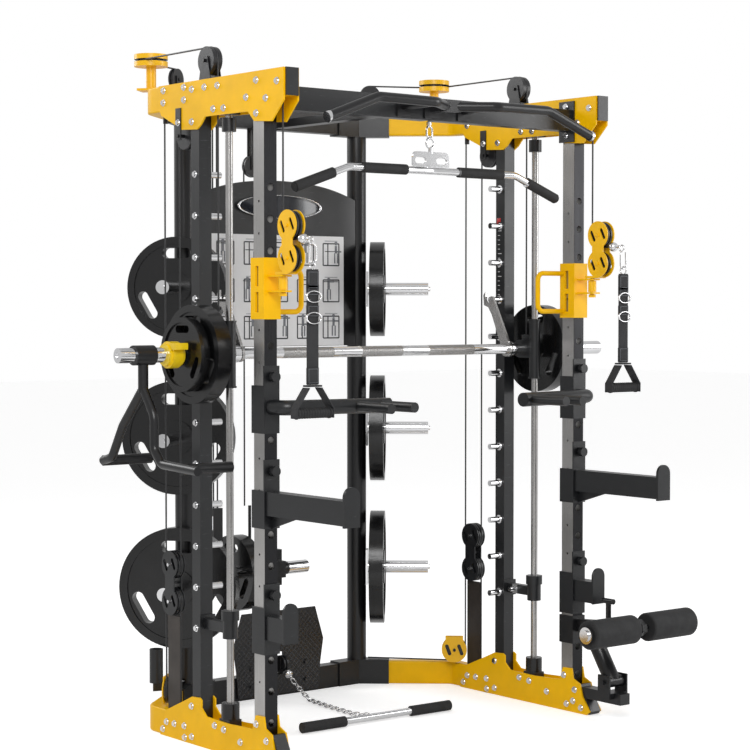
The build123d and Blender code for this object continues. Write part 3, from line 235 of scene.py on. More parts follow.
def surface(tree, place, finish):
    """Colour, roughness and bump height of a finish, varying over the surface."""
    clouds, peel, scratches = marks(tree, place, finish.patch, finish.grain)
    dark = tuple(c * (1 - finish.vary * 1.6) for c in finish.colour)
    patches = node(tree, "ShaderNodeMapRange", {0: clouds, 1: 0.35, 2: 0.65, 3: 0.0, 4: 1.0}).outputs[0]
    colour = blend_colours(tree, patches, rgb(finish.colour), rgb(dark))
    colour = blend_colours(tree, maths(tree, "MULTIPLY", scratches, finish.scratch), colour, rgb(finish.worn))
    rough = maths(tree, "MULTIPLY_ADD", clouds, finish.vary, finish.rough - finish.vary / 2)
    return colour, rough, peel


def coated(name, finish):
    """Material of a single finish."""
    material, tree, shader, place = new_material(name)
    colour, rough, peel = surface(tree, place, finish)
    tree.links.new(colour, shader.inputs["Base Color"])
    tree.links.new(rough, shader.inputs["Roughness"])
    tree.links.new(bump(tree, peel, finish.peel, 0.0004), shader.inputs["Normal"])
    shader.inputs["Metallic"].default_value = finish.metallic
    shader.inputs["Coat Weight"].default_value = finish.coat
    shader.inputs["Specular IOR Level"].default_value = finish.gloss
    return material


def two_coated(name, main, other, mask_of, ridges_of=None):
    """Material with one finish, and another where mask_of(tree, place) is 1."""
    material, tree, shader, place = new_material(name)
    mask = mask_of(tree, place)
    first, second = surface(tree, place, main), surface(tree, place, other)
    tree.links.new(blend_colours(tree, mask, first[0], second[0]), shader.inputs["Base Color"])
    tree.links.new(blend_values(tree, mask, first[1], second[1]), shader.inputs["Roughness"])
    tree.links.new(blend_values(tree, mask, main.metallic, other.metallic), shader.inputs["Metallic"])
    height = blend_values(tree, mask, maths(tree, "MULTIPLY", first[2], main.peel),
                          maths(tree, "MULTIPLY", second[2], other.peel))
    normal = bump(tree, height, 1.0, 0.0004)
    if ridges_of:
        normal = bump(tree, ridges_of(tree, place, mask), 0.6, 0.0006, normal)
    tree.links.new(normal, shader.inputs["Normal"])
    return material


# ---- finishes ----
YELLOW = Finish((0.94, 0.52, 0.0), 0.32, vary=0.08, grain=520, peel=0.25, worn=(1.0, 0.62, 0.02), gloss=0.18)
BLACK_COAT = Finish((0.006, 0.006, 0.007), 0.3, vary=0.14, grain=520, peel=0.35, worn=(0.06, 0.06, 0.065))
CHARCOAL = Finish((0.0095, 0.0102, 0.0115), 0.33, vary=0.16, grain=480, peel=0.4, worn=(0.09, 0.09, 0.1))
STEEL = Finish((0.5, 0.49, 0.48), 0.26, 1.0, vary=0.16, patch=3, grain=900, peel=0.08, scratch=0.5)
CHROME = Finish((0.8, 0.8, 0.81), 0.09, 1.0, vary=0.05, patch=9, grain=300, peel=0.03, scratch=0.15)
RUBBER = Finish((0.006, 0.006, 0.0065), 0.2, vary=0.22, patch=14, grain=260, peel=0.5,
                worn=(0.05, 0.05, 0.05))
FOAM = Finish((0.014, 0.014, 0.015), 0.72, vary=0.2, patch=24, grain=380, peel=1.0, worn=(0.03, 0.03, 0.03))
NYLON = Finish((0.012, 0.012, 0.013), 0.35, vary=0.2, patch=30, grain=900, peel=0.2)
PLASTIC = Finish((0.016, 0.016, 0.018), 0.33, vary=0.12, patch=20, grain=420, peel=0.3)
YELLOW_PLASTIC = Finish((0.9, 0.62, 0.01), 0.25, vary=0.08, patch=20, grain=300, peel=0.15, coat=0.3)
BROWN_BAR = Finish((0.045, 0.036, 0.03), 0.42, 0.3, vary=0.2, patch=10, grain=500, peel=0.3)
BOARD = Finish((0.78, 0.78, 0.79), 0.28, vary=0.05, patch=4, grain=300, peel=0.08, worn=(0.7, 0.7, 0.7))
GLASS = Finish((0.012, 0.014, 0.02), 0.08, vary=0.04, patch=8, grain=200, peel=0.03, coat=0.8)
RED = Finish((0.55, 0.02, 0.02), 0.4, vary=0.1, patch=20, grain=500, peel=0.2)
PRINT_GREY = Finish((0.2, 0.21, 0.23), 0.4, vary=0.2, patch=60, grain=900, peel=0.1)
PRINT_DARK = Finish((0.03, 0.03, 0.035), 0.4, vary=0.2, patch=60, grain=900, peel=0.1)
PRINT_LINE = Finish((0.45, 0.46, 0.48), 0.4, vary=0.1, patch=60, grain=900, peel=0.1)


def reach(tree, place, axis, about=0.0, mirrored=True):
    """Distance from a plane along one axis; mirrored uses |X| first."""
    value = node(tree, "ShaderNodeSeparateXYZ", {0: place}).outputs["XYZ".index(axis)]
    if mirrored:
        value = maths(tree, "ABSOLUTE", value)
    return maths(tree, "SUBTRACT", value, about)


def along(axis, low, high, mirrored=False):
    """Mask of a slab between two limits on an axis."""
    def mask(tree, place):
        return between(tree, reach(tree, place, axis, 0.0, mirrored), low, high)
    return mask


def away_from_plane(axis, about, limit):
    """Mask of what lies further than a limit from a plane, on both mirrored sides."""
    def mask(tree, place):
        value = maths(tree, "ABSOLUTE", reach(tree, place, axis, about))
        return node(tree, "ShaderNodeMapRange", {0: value, 1: limit - 0.0004, 2: limit + 0.0004}).outputs[0]
    return mask


def all_of(*masks):
    """Product of masks."""
    def mask(tree, place):
        value = masks[0](tree, place)
        for other in masks[1:]:
            value = maths(tree, "MULTIPLY", value, other(tree, place))
        return value
    return mask


def any_of(*masks):
    """Largest of masks."""
    def mask(tree, place):
        value = masks[0](tree, place)
        for other in masks[1:]:
            value = maths(tree, "MAXIMUM", value, other(tree, place))
        return value
    return mask


def outside_of(other):
    """Everything a mask leaves out."""
    def mask(tree, place):
        return maths(tree, "SUBTRACT", 1.0, other(tree, place))
    return mask


def near_axis(first, second, at, radius):
    """Mask of what lies within a radius of a line; first and second are the axes across it."""
    def mask(tree, place):
        a = reach(tree, place, first, at[0], first == "X")
        b = reach(tree, place, second, at[1], second == "X")
        distance = maths(tree, "SQRT", maths(tree, "ADD", maths(tree, "MULTIPLY", a, a),
                                              maths(tree, "MULTIPLY", b, b)))
        return node(tree, "ShaderNodeMapRange",
                    {0: distance, 1: radius, 2: radius + 0.0005, 3: 1.0, 4: 0.0}).outputs[0]
    return mask


def knurl_ridges(tree, place, mask):
    """Knurling only where the mask is."""
    made = node(tree, "ShaderNodeGroup", node_tree=knurl)
    tree.links.new(place, made.inputs["Place"])
    made.inputs["Pitch"].default_value = 230.0
    return maths(tree, "MULTIPLY", made.outputs["Height"], mask)


UPRIGHT_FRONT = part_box("front_uprights")[0][1] + 0.0006


def brushed_upright():
    """Long vertical grind lines on bright steel, with the front face painted near-black as a painted dark
    reflection.
    """
    material, tree, shader, place = new_material("brushed_upright")
    colour, rough, peel = surface(tree, place, STEEL)
    lines = node(tree, "ShaderNodeMapping", {"Vector": place, "Scale": (900.0, 900.0, 3.0)})
    grind = node(tree, "ShaderNodeTexNoise",
                 {"Vector": lines.outputs[0], "Scale": 1.0, "Detail": 4.0}).outputs[0]
    shade = node(tree, "ShaderNodeMapRange", {0: grind, 1: 0.3, 2: 0.7, 3: 0.0, 4: 1.0}).outputs[0]
    ground = blend_colours(tree, maths(tree, "MULTIPLY", shade, 0.35), colour, rgb((0.42, 0.41, 0.4)))
    # Painted reflection: the front face is coloured near-black in place of the dark surroundings it mirrors.
    painted_dark_front = along("Y", -0.34, UPRIGHT_FRONT)(tree, place)
    tree.links.new(blend_colours(tree, painted_dark_front, ground, rgb((0.035, 0.035, 0.037))),
                   shader.inputs["Base Color"])
    tree.links.new(maths(tree, "MULTIPLY_ADD", shade, 0.14, rough), shader.inputs["Roughness"])
    tree.links.new(bump(tree, grind, 0.2, 0.0003), shader.inputs["Normal"])
    shader.inputs["Metallic"].default_value = 1.0
    shader.inputs["Anisotropic"].default_value = 0.5
    return material


def tread_plate():
    """Black coated sheet with raised crossed bars."""
    material, tree, shader, place = new_material("tread_plate")
    colour, rough, peel = surface(tree, place, BLACK_COAT)
    heights = []
    for turn, shift in ((0.785, 0.0), (-0.785, 0.011)):
        tilt = node(tree, "ShaderNodeMapping", {"Vector": place, "Rotation": (0.0, turn, 0.0),
                                                "Location": (shift, 0.0, shift)})
        axes = node(tree, "ShaderNodeSeparateXYZ", {0: tilt.outputs[0]})
        long_way = maths(tree, "PINGPONG", axes.outputs[0], 0.016)
        short_way = maths(tree, "PINGPONG", axes.outputs[2], 0.008)
        a = node(tree, "ShaderNodeMapRange", {0: long_way, 1: 0.002, 2: 0.005}).outputs[0]
        b = node(tree, "ShaderNodeMapRange", {0: short_way, 1: 0.005, 2: 0.0072}).outputs[0]
        heights.append(maths(tree, "MULTIPLY", a, b))
    raised = maths(tree, "MAXIMUM", heights[0], heights[1])
    tree.links.new(blend_colours(tree, raised, colour, rgb((0.035, 0.035, 0.038))),
                   shader.inputs["Base Color"])
    tree.links.new(maths(tree, "MULTIPLY_ADD", raised, -0.1, rough), shader.inputs["Roughness"])
    normal = bump(tree, peel, 0.3, 0.0004)
    tree.links.new(bump(tree, raised, 0.8, 0.0012, normal), shader.inputs["Normal"])
    return material


def rope_cover(name):
    """Smooth plastic cover through which the wire's lay shows."""
    material, tree, shader, place = new_material(name)
    colour, rough, peel = surface(tree, place, NYLON)
    tilt = node(tree, "ShaderNodeMapping", {"Vector": place, "Rotation": (0.9, 0.4, 0.0)})
    lay = node(tree, "ShaderNodeTexWave", {"Vector": tilt.outputs[0], "Scale": 110.0},
               bands_direction="Z").outputs["Fac"]
    tree.links.new(blend_colours(tree, maths(tree, "MULTIPLY", lay, 0.5), colour, rgb((0.03, 0.03, 0.032))),
                   shader.inputs["Base Color"])
    tree.links.new(rough, shader.inputs["Roughness"])
    tree.links.new(bump(tree, lay, 0.35, 0.0005), shader.inputs["Normal"])
    return material


def webbing_cloth():
    """Black woven strap."""
    material, tree, shader, place = new_material("webbing_cloth")
    colour, rough, peel = surface(tree, place, FOAM)
    threads = node(tree, "ShaderNodeGroup", node_tree=weave)
    tree.links.new(place, threads.inputs["Place"])
    tree.links.new(blend_colours(tree, threads.outputs["Thread"], colour, rgb((0.035, 0.035, 0.038))),
                   shader.inputs["Base Color"])
    tree.links.new(maths(tree, "MULTIPLY_ADD", threads.outputs["Thread"], 0.1, rough),
                   shader.inputs["Roughness"])
    tree.links.new(bump(tree, threads.outputs["Height"], 0.5, 0.0005), shader.inputs["Normal"])
    return material


def cast_rubber():
    """Moulded rubber with a slight mould texture and dusty patches."""
    material, tree, shader, place = new_material("cast_rubber")
    colour, rough, peel = surface(tree, place, RUBBER)
    cells = node(tree, "ShaderNodeTexVoronoi", {"Vector": place, "Scale": 420.0}).outputs[0]
    tree.links.new(colour, shader.inputs["Base Color"])
    tree.links.new(rough, shader.inputs["Roughness"])
    normal = bump(tree, peel, 0.35, 0.0006)
    tree.links.new(bump(tree, cells, 0.12, 0.0004, normal), shader.inputs["Normal"])
    return material


# ---- materials on the CAD nodes ----
def make_materials():
    """One material for each finish, and for each node that has more than one."""
    wheel_slab = outside_of(away_from_plane("X", SIDE, 0.0136))
    block_wheels = all_of(wheel_slab, along("Z", 1.6215, 1.9))
    made = {
        "yellow": coated("yellow_powder_coat", YELLOW),
        "black": coated("black_powder_coat", BLACK_COAT),
        "charcoal": coated("charcoal_powder_coat", CHARCOAL),
        "upright": brushed_upright(),
        "chrome": coated("polished_chrome", CHROME),
        "steel": coated("satin_steel", STEEL),
        "rubber": cast_rubber(),
        "foam": coated("closed_cell_foam", FOAM),
        "rope": rope_cover("rope_cover"),
        "plastic": coated("moulded_nylon", PLASTIC),
        "yellow_plastic": coated("yellow_nylon", YELLOW_PLASTIC),
        "webbing": webbing_cloth(),
        "board": coated("white_board", BOARD),
        "glass": coated("dark_glass", GLASS),
        "tread": tread_plate(),
        "red": coated("red_mark", RED),
        "print_grey": coated("print_grey", PRINT_GREY),
        "print_dark": coated("print_dark", PRINT_DARK),
        "print_line": coated("print_line", PRINT_LINE),
        "bar": two_coated("knurled_bar", CHROME, STEEL,
                          any_of(along("X", -0.001, 0.094, True), along("X", 0.22, 0.44, True)),
                          knurl_ridges),
        "lat_bar": two_coated("lat_bar_finish", CHROME, FOAM,
                              any_of(along("X", 0.1195, 0.3188, True), along("X", 0.4385, 0.7, True))),
        "row_bar": two_coated("row_bar_finish", CHROME, FOAM, along("X", 0.1495, 0.6, True), knurl_ridges),
        "pulley_block": two_coated("pulley_block_finish", YELLOW, PLASTIC, block_wheels),
        "lift_block": two_coated("lift_block_finish", CHARCOAL, CHROME, away_from_plane("X", SIDE, 0.0184)),
        "horn": two_coated("horn_finish", CHROME, BLACK_COAT,
                           near_axis("X", "Y", (0.408, 0.623), 0.0468)),
        "pull_up": two_coated("pull_up_finish", BLACK_COAT, CHROME, along("X", 0.5875, 0.7, True)),
        "corner_wheel": two_coated("corner_wheel_finish", YELLOW, PLASTIC, along("Z", 2.3812, 2.3888)),
        "roller_frame": two_coated("roller_frame_finish", BLACK_COAT, CHROME,
                                   any_of(along("X", 0.3, 0.4405), along("X", 0.9625, 1.1))),
        "weight_carriage": two_coated(
            "weight_carriage_finish", BLACK_COAT, CHROME,
            all_of(near_axis("Y", "Z", (0.625, 0.49), 0.0256),
                   any_of(along("X", -0.4, -0.061), along("X", 0.0605, 0.3)))),
        "brackets": two_coated("bracket_finish", BLACK_COAT, BROWN_BAR,
                               all_of(outside_of(away_from_plane("X", SIDE, 0.0034)), along("Z", 0.0, 0.4235),
                                      along("Y", 0.2, 0.29))),
        "stops": two_coated("stop_finish", CHARCOAL, CHROME, all_of(along("X", 0.66, 0.6875, True),
                                                                     along("Y", -0.02, 0.006))),
    }
    return made


materials = make_materials()
finish_of = {
    "yellow": ("base_rails", "top_rails", "gusset_plates", "trolley_left", "trolley_right"),
    "black": ("rear_frame", "rear_shield", "row_handle", "landmine_tube"),
    "charcoal": ("frame_brackets", "front_cross_beam", "mid_uprights", "spotter_arms", "j_hooks",
                 "dip_handles", "carriage_sleeves"),
    "upright": ("front_uprights",),
    "chrome": ("frame_bolts", "lock_pegs", "snap_hook_left", "snap_hook_right", "row_chain"),
    "steel": ("bar_hooks", "guide_rods"),
    "rubber": ("storage_plates", "bar_plates", "weight_plate", "rod_bumpers"),
    "foam": ("foam_rollers",),
    "rope": ("frame_cables", "bar_cables", "trolley_cable_left", "trolley_cable_right", "block_cable_left",
             "block_cable_right", "lat_cable", "weight_cables"),
    "plastic": ("guide_pulleys", "top_pulleys"),
    "yellow_plastic": ("bar_collars",),
    "webbing": ("hand_strap_left", "hand_strap_right"),
    "board": ("exercise_chart",),
    "glass": ("shield_badge",),
    "tread": ("footplate",),
    "bar": ("barbell",), "lat_bar": ("lat_bar",), "row_bar": ("row_bar",),
    "pulley_block": ("pulley_block_left", "pulley_block_right"),
    "lift_block": ("floating_block_left", "floating_block_right"),
    "horn": ("storage_horns",), "pull_up": ("pull_up_bar",), "corner_wheel": ("yellow_pulleys",),
    "roller_frame": ("leg_roller_frame",), "weight_carriage": ("weight_carriage",),
    "brackets": ("pulley_brackets",), "stops": ("safety_stops",),
}
for finish, names in finish_of.items():
    for name in names:
        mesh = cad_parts[name].data
        mesh.materials.clear()
        mesh.materials.append(materials[finish])

# ---- modelling helpers ----
def nothing_selected():
    """Object mode with nothing selected, so that operators act only on what comes next."""
    if bpy.context.mode != "OBJECT":
        bpy.ops.object.mode_set(mode="OBJECT")
    bpy.ops.object.select_all(action="DESELECT")


def settle():
    """Moves the active piece's place into its mesh, so that its object sits at the origin."""
    bpy.ops.object.mode_set(mode="OBJECT")
    bpy.ops.object.transform_apply(location=True, rotation=True, scale=True)
    return bpy.context.object


def round_edges(piece, width, segments=2, angle=0.6):
    """Bevels the piece's edges and smooths its faces."""
    bevel = piece.modifiers.new("round", "BEVEL")
    bevel.width, bevel.segments, bevel.limit_method, bevel.angle_limit = width, segments, "ANGLE", angle
    bpy.context.view_layer.objects.active = piece
    bpy.ops.object.modifier_apply(modifier="round")
    bpy.ops.object.shade_smooth_by_angle(angle=0.7)


def join(pieces):
    """Joins pieces into the first one."""
    nothing_selected()
    for piece in pieces:
        piece.select_set(True)
    bpy.context.view_layer.objects.active = pieces[0]
    bpy.ops.object.join()
    return bpy.context.object


def dress(piece, name, finish, body, stands_for=()):
    """Names and paints a finished piece, and lets it move with its body."""
    piece.name = name
    piece.data.name = name
    piece.data.materials.clear()
    piece.data.materials.append(materials[finish])
    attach(piece, body)
    if stands_for:
        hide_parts(*stands_for)
    return piece


def bar(place, size, edge=0.0006):
    """Rounded rectangular bar."""
    nothing_selected()
    bpy.ops.mesh.primitive_cube_add(size=1, location=place, scale=size)
    piece = settle()
    round_edges(piece, edge)
    return piece


def tube_between(start, end, radius, sides=20, rings=1):
    """Round bar between two points, with extra rings along it where it has to stretch."""
    nothing_selected()
    start, end = Vector(start), Vector(end)
    turn = (end - start).to_track_quat("Z", "Y").to_euler()
    bpy.ops.mesh.primitive_cylinder_add(vertices=sides, radius=radius, depth=(end - start).length,
                                        location=(start + end) / 2, rotation=turn)
    if rings > 1:
        bpy.ops.object.mode_set(mode="EDIT")
        bpy.ops.mesh.select_all(action="DESELECT")
        bpy.ops.object.mode_set(mode="OBJECT")
        for edge in bpy.context.object.data.edges:
            low, high = (bpy.context.object.data.vertices[v].co.z for v in edge.vertices)
            edge.select = abs(low - high) > 1e-5
        bpy.ops.object.mode_set(mode="EDIT")
        bpy.ops.mesh.subdivide(number_cuts=rings - 1)
    piece = settle()
    bpy.ops.object.shade_smooth_by_angle(angle=0.7)
    return piece


def ring(place, axis, outer, inner, thick, edge=0.0008, sides=48):
    """Flat ring: a disc whose two faces are inset, opened and bridged."""
    nothing_selected()
    turn = Vector(axis).to_track_quat("Z", "Y").to_euler()
    bpy.ops.mesh.primitive_cylinder_add(vertices=sides, radius=outer, depth=thick, location=place,
                                        rotation=turn)
    bpy.ops.object.mode_set(mode="EDIT")
    bpy.ops.mesh.select_mode(type="FACE")
    bpy.ops.mesh.select_all(action="DESELECT")
    bpy.ops.object.mode_set(mode="OBJECT")
    for face in bpy.context.object.data.polygons:
        face.select = len(face.vertices) > 4
    bpy.ops.object.mode_set(mode="EDIT")
    bpy.ops.mesh.inset(thickness=outer - inner)
    bpy.ops.mesh.bridge_edge_loops()
    piece = settle()
    round_edges(piece, edge)
    return piece


# ---- hub rings in the plates ----
COLUMN = Vector((0.408, 0.623, 0.0))
ARM = Vector((0.7593, -0.6508, 0.0))
HORN_LEVELS = (1.578, 1.024, 0.467)
BAR_Y, BAR_Z = -0.035, 1.348
HUB_RING = (0.034, 0.0256, 0.0015)      # outer and inner radius, thickness


def add_hub_rings():
    """Steel bush that shows in the middle of each plate."""
    rings = []
    for side in (-1, 1):
        way = Vector((ARM.x * side, ARM.y, 0))
        foot = Vector((COLUMN.x * side, COLUMN.y, 0))
        for height in HORN_LEVELS:
            rings.append(ring(foot + way * 0.1065 + Vector((0, 0, height)), way, *HUB_RING))
    dress(join(rings), "storage_hub_rings", "steel", "frame")
    rings = []
    for side in (-1, 1):
        for x in (0.8095, 0.8495):
            rings.append(ring((side * x, BAR_Y, BAR_Z), (1, 0, 0), *HUB_RING))
    dress(join(rings), "bar_hub_rings", "steel", "bar")
    low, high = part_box("weight_plate")
    spot = (high[0] - 0.0055, (low[1] + high[1]) / 2, (low[2] + high[2]) / 2)
    dress(ring(spot, (1, 0, 0), *HUB_RING), "weight_hub_ring", "steel", "weight_carriage")


# ---- low-row chain ----
CHAIN = ((0, 0.531, 0.095), (0.005, 0.493, 0.062), (0, 0.393, 0.014), (-0.010, 0.253, 0.012),
         (-0.020, 0.087, 0.012), (0, 0.0, 0.018))
LINK_STEP = 0.0215


def add_chain():
    """Oval links, each turned a quarter from the last, from the stop ball to the bar."""
    nothing_selected()
    bpy.ops.mesh.primitive_uv_sphere_add(segments=32, ring_count=20, radius=0.018, location=CHAIN[0])
    ball = settle()
    bpy.ops.object.shade_smooth()
    links = [ball]
    count = 0
    for first, second in zip(CHAIN[:-1], CHAIN[1:]):
        start, run = Vector(first), Vector(second) - Vector(first)
        steps = max(2, round(run.length / LINK_STEP))
        for k in range(steps):
            nothing_selected()
            bpy.ops.mesh.primitive_torus_add(major_segments=20, minor_segments=8, major_radius=0.0088,
                                             minor_radius=0.0024)
            link = bpy.context.object
            link.scale = (1.55, 1.0, 1.0)
            bpy.ops.object.transform_apply(scale=True)
            turn = run.to_track_quat("X", "Z").to_matrix().to_4x4()
            roll = 0.25 if count % 2 else 1.57 + 0.25
            link.rotation_euler = (roll, 0, 0)
            bpy.ops.object.transform_apply(rotation=True)
            link.rotation_euler = turn.to_euler()
            link.location = start + run * ((k + 0.5) / steps)
            bpy.ops.object.transform_apply(location=True, rotation=True)
            bpy.ops.object.shade_smooth()
            links.append(link)
            count += 1
    dress(join(links), "low_row_chain", "chrome", "row_pull", ["row_chain"])


# ---- hand straps ----
STRAP_Y = -0.565
EXIT_Z = 1.725
GRIP_Z = {"left": 1.170, "right": 1.216}
D_RING_Z = (1.550, 1.482)
PATCHES = ((1.562, 0.036), (1.494, 0.036))      # sewn patches behind the D rings: height, length


def add_strap(side, x):
    """Sewn webbing with two D rings and a triangular loop that holds a foam grip."""
    body = "hand_strap_" + side
    low_z = GRIP_Z[side]
    top_z = EXIT_Z - 0.098
    bands = [bar((x, STRAP_Y, (top_z + low_z + 0.09) / 2), (0.046, 0.0042, top_z - low_z - 0.09), 0.0012)]
    for height, length in ((top_z - 0.034, 0.058), *PATCHES, (low_z + 0.118, 0.052)):
        for y in (-0.0034, 0.0034):
            bands.append(bar((x, STRAP_Y + y, height), (0.0445, 0.0026, length), 0.0009))
    for way in (-1, 1):
        nothing_selected()
        bpy.ops.mesh.primitive_cube_add(size=1, location=(x + way * 0.048, STRAP_Y, low_z + 0.047),
                                        scale=(0.0036, 0.038, 0.082))
        bpy.context.object.rotation_euler = (0, -way * 0.62, 0)
        settle()
        round_edges(bpy.context.object, 0.001)
        bands.append(bpy.context.object)
        bands.append(bar((x + way * 0.0715, STRAP_Y, low_z), (0.0036, 0.038, 0.034), 0.001))
    bands.append(bar((x, STRAP_Y, low_z + 0.086), (0.056, 0.030, 0.006), 0.0015))
    dress(join(bands), "strap_webbing_" + side, "webbing", body, [body])

    stitches = []
    for height, length in ((top_z - 0.034, 0.05), (1.562, 0.03), (1.494, 0.03), (low_z + 0.118, 0.044)):
        for dz in (-length / 2, length / 2):
            stitches.append(bar((x, STRAP_Y - 0.0049, height + dz), (0.036, 0.0008, 0.0011), 0.0003))
        for dx in (-0.018, 0.018):
            stitches.append(bar((x + dx, STRAP_Y - 0.0049, height), (0.0011, 0.0008, length), 0.0003))
    dress(join(stitches), "strap_stitching_" + side, "print_grey", body, [body])

    rings = []
    for height in D_RING_Z:
        nothing_selected()
        bpy.ops.mesh.primitive_torus_add(major_segments=36, minor_segments=10, major_radius=0.029,
                                         minor_radius=0.0034, location=(x, STRAP_Y - 0.0075, height - 0.010),
                                         rotation=(math.pi / 2, 0, 0))
        bpy.context.object.scale = (1.0, 0.62, 1.0)
        settle()
        bpy.ops.object.shade_smooth()
        rings.append(bpy.context.object)
    nothing_selected()
    bpy.ops.mesh.primitive_torus_add(major_segments=36, minor_segments=10, major_radius=0.014,
                                     minor_radius=0.0026, location=(x, STRAP_Y, top_z + 0.0115),
                                     rotation=(0, math.pi / 2, 0))
    settle()
    bpy.ops.object.shade_smooth()
    rings.append(bpy.context.object)
    dress(join(rings), "strap_rings_" + side, "chrome", body, [body])

    grip = [tube_between((x - 0.062, STRAP_Y, low_z), (x + 0.062, STRAP_Y, low_z), 0.0165, 32)]
    for way in (-1, 1):
        grip.append(tube_between((x + way * 0.061, STRAP_Y, low_z), (x + way * 0.068, STRAP_Y, low_z),
                                 0.0195, 32))
        round_edges(grip[-1], 0.0018)
    for k in range(-5, 6):
        grip.append(ring((x + k * 0.0105, STRAP_Y, low_z), (1, 0, 0), 0.0176, 0.0160, 0.0035, 0.0006, 32))
    dress(join(grip), "strap_grip_" + side, "foam", body, [body])


# ---- foam leg rollers ----
def add_foam_rollers():
    """Two soft rolls with rounded ends and pressed-in end faces."""
    low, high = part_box("foam_rollers")
    y, z = (low[1] + high[1]) / 2, (low[2] + high[2]) / 2
    radius = (high[1] - low[1]) / 2
    rolls = []
    for start, stop in ((low[0], 0.670), (0.734, high[0])):
        nothing_selected()
        bpy.ops.mesh.primitive_cylinder_add(vertices=64, radius=radius, depth=stop - start,
                                            location=((start + stop) / 2, y, z), rotation=(0, math.pi / 2, 0))
        bpy.ops.object.mode_set(mode="EDIT")
        bpy.ops.mesh.select_mode(type="FACE")
        bpy.ops.mesh.select_all(action="DESELECT")
        bpy.ops.object.mode_set(mode="OBJECT")
        for face in bpy.context.object.data.polygons:
            face.select = len(face.vertices) > 4
        bpy.ops.object.mode_set(mode="EDIT")
        bpy.ops.mesh.inset(thickness=radius * 0.42)
        bpy.ops.transform.shrink_fatten(value=-0.006)
        rolls.append(settle())
        round_edges(rolls[-1], 0.009, 5, 0.5)
    piece = dress(join(rolls), "leg_roller_foam", "foam", "foam_rollers", ["foam_rollers"])


# ---- ropes that stretch between two bodies ----
def add_stretching_ropes():
    """Strands below the lift blocks, at the stop balls and at the low-row ball."""
    for side, x in (("left", LEFT), ("right", RIGHT)):
        for name, y, foot in (("painted_dark_front", 0.203, 0.091), ("rear", 0.297, 0.145)):
            strand = tube_between((x, y, foot), (x, y, 0.476), 0.003, 12, 24)
            strand.name = "lift_strand_" + name + "_" + side
            strand.data.materials.append(materials["rope"])
            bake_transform(strand)
        strand = tube_between((x, -0.452, EXIT_Z), (x, -0.502, EXIT_Z), 0.0031, 12, 12)
        strand.name = "pull_strand_" + side
        strand.data.materials.append(materials["rope"])
        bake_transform(strand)
    strand = tube_between((0, 0.562, 0.095), (0, 0.545, 0.095), 0.0031, 12, 12)
    strand.name = "low_row_strand"
    strand.data.materials.append(materials["rope"])
    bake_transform(strand)


# ---- exercise chart ----
def add_chart_pictures():
    """Three rows of five small generic pictures: a rack outline, a bar across it and a simple figure each,
    with a rule above.
    """
    low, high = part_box("exercise_chart")
    face = low[1] - 0.0004
    frames, figures, panels = [], [], []
    columns, rows = 5, 3
    step_x, step_z = (high[0] - low[0]) / columns, (high[2] - low[2]) / rows
    for row in range(rows):
        for column in range(columns):
            x = low[0] + step_x * (column + 0.5)
            z = low[2] + step_z * (row + 0.5)
            wide, tall = step_x * 0.62, step_z * 0.60
            panels.append(bar((x, face + 0.0002, z + tall * 0.62), (wide * 0.8, 0.0006, 0.004), 0.0001))
            for dx in (-wide / 2, wide / 2, -wide / 5):
                frames.append(bar((x + dx, face, z), (0.0048, 0.0008, tall), 0.0001))
            for dz in (-tall / 2, tall / 2):
                frames.append(bar((x, face, z + dz), (wide, 0.0008, 0.0048), 0.0001))
            lean = 0.012 * ((row * 3 + column * 2) % 5 - 2)
            arm_up = (row + column) % 3
            for dx, dz, w, h in ((lean, 0.020, 0.011, 0.030), (lean - 0.006, -0.014, 0.006, 0.040),
                                 (lean + 0.008, -0.014, 0.006, 0.040),
                                 (lean + 0.014, 0.012 + 0.012 * arm_up, 0.024, 0.006)):
                figures.append(bar((x + dx, face - 0.0002, z + dz), (w, 0.0008, h), 0.0001))
            nothing_selected()
            bpy.ops.mesh.primitive_cylinder_add(vertices=20, radius=0.0075, depth=0.0008,
                                                location=(x + lean, face - 0.0002, z + 0.044),
                                                rotation=(math.pi / 2, 0, 0))
            figures.append(settle())
            frames.append(bar((x + lean * 0.3, face, z + 0.012 + 0.012 * arm_up),
                              (wide * 0.96, 0.0008, 0.003), 0.0001))
    dress(join(frames), "chart_rack_outlines", "print_dark", "frame")
    dress(join(figures), "chart_figures", "print_grey", "frame")
    dress(join(panels), "chart_rules", "print_line", "frame")


# ---- badge ----
def add_badge_rim():
    """Chrome oval rim, flattened against the shield."""
    low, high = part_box("shield_badge")
    across, up = (high[0] - low[0]) / 2, (high[2] - low[2]) / 2
    nothing_selected()
    bpy.ops.mesh.primitive_torus_add(major_segments=72, minor_segments=12, major_radius=across - 0.003,
                                     minor_radius=0.006, rotation=(math.pi / 2, 0, 0))
    bpy.ops.object.transform_apply(rotation=True)
    bpy.context.object.scale = (1.0, 0.5, (up - 0.003) / (across - 0.003))
    bpy.context.object.location = ((low[0] + high[0]) / 2, low[1] - 0.001, (low[2] + high[2]) / 2)
    rim = settle()
    bpy.ops.object.shade_smooth()
    dress(rim, "badge_rim", "chrome", "frame")


# ---- height scale on the right middle upright ----
def add_height_scale():
    """Short ticks down the inner face, with one red mark at the top."""
    low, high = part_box("mid_uprights")
    face = RIGHT - 0.0252
    ticks = []
    for k in range(16):
        long_tick = k % 5 == 0
        width = 0.020 if long_tick else 0.011
        ticks.append(bar((face, high[1] - 0.012 - width / 2, 1.80 - 0.0175 * k),
                         (0.0008, width, 0.0022), 0.0002))
    dress(join(ticks), "height_scale_ticks", "board", "frame")
    dress(bar((face, high[1] - 0.016, 1.836), (0.0008, 0.022, 0.026), 0.0003), "height_scale_mark", "red",
          "frame")


add_hub_rings()
add_chain()
add_strap("left", LEFT)
add_strap("right", RIGHT)
add_foam_rollers()
add_stretching_ropes()
add_chart_pictures()
add_badge_rim()
add_height_scale()


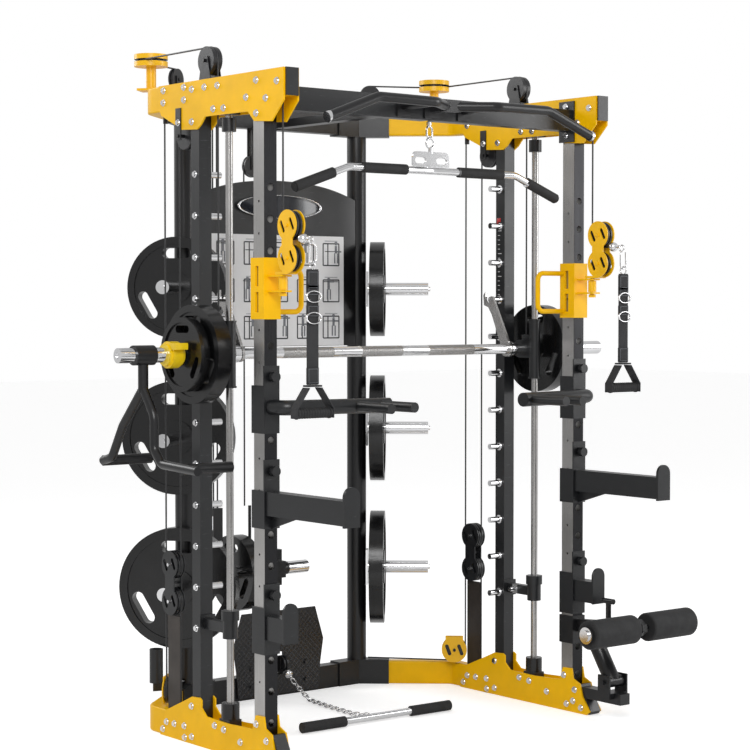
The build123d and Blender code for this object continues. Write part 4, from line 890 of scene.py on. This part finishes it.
# ---- studio ----
def add_lamp(name, place, aim, size, power):
    """Soft rectangular lamp pointing at a spot."""
    data = bpy.data.lights.new(name, "AREA")
    data.shape = "RECTANGLE"
    data.size, data.size_y = size
    data.energy = power
    lamp = bpy.data.objects.new(name, data)
    lamp.location = place
    lamp.rotation_euler = (Vector(aim) - Vector(place)).to_track_quat("-Z", "Y").to_euler()
    scene.collection.objects.link(lamp)


def light_studio():
    """White world for the view and reflections, three soft lamps on the object."""
    world = bpy.data.worlds.new("studio")
    scene.world = world
    world.use_nodes = True
    tree = world.node_tree
    ground = tree.nodes["Background"]
    rays = tree.nodes.new("ShaderNodeLightPath")
    seen = maths(tree, "MAXIMUM", rays.outputs["Is Camera Ray"], rays.outputs["Is Transmission Ray"])
    lit = maths(tree, "MULTIPLY_ADD", rays.outputs["Is Glossy Ray"], 0.1, 0.55)
    tree.links.new(maths(tree, "MAXIMUM", seen, lit), ground.inputs["Strength"])
    ground.inputs["Color"].default_value = (1.0, 1.0, 1.0, 1.0)
    add_lamp("key", (-3.6, -4.2, 4.2), (0, 0, 1.2), (2.4, 2.4), 165)
    add_lamp("fill", (4.4, -3.6, 2.6), (0, 0, 1.1), (2.0, 3.0), 85)
    add_lamp("back", (-2.0, 4.6, 3.8), (0, 0.2, 1.4), (3.0, 2.0), 90)


def lay_floor():
    """Wide white floor that only shows the object's shadow."""
    bpy.ops.object.select_all(action="DESELECT")
    bpy.ops.mesh.primitive_plane_add(size=60, location=(0, 0, -0.0005))
    floor = bpy.context.object
    floor.name = "floor"
    material, tree, shader, place = new_material("studio_floor")
    clouds, peel, scratches = marks(tree, place, 0.8, 200.0)
    tree.links.new(blend_colours(tree, clouds, rgb((0.9, 0.9, 0.9)), rgb((0.93, 0.93, 0.93))),
                   shader.inputs["Base Color"])
    shader.inputs["Roughness"].default_value = 0.6
    shader.inputs["Specular IOR Level"].default_value = 0.2
    rays = node(tree, "ShaderNodeLightPath")
    shader.inputs["Emission Color"].default_value = (1.0, 1.0, 1.0, 1.0)
    tree.links.new(maths(tree, "MULTIPLY", rays.outputs["Is Camera Ray"], 0.45),
                   shader.inputs["Emission Strength"])
    floor.data.materials.append(material)


scene.view_settings.view_transform = "Standard"
place_camera()
light_studio()
lay_floor()
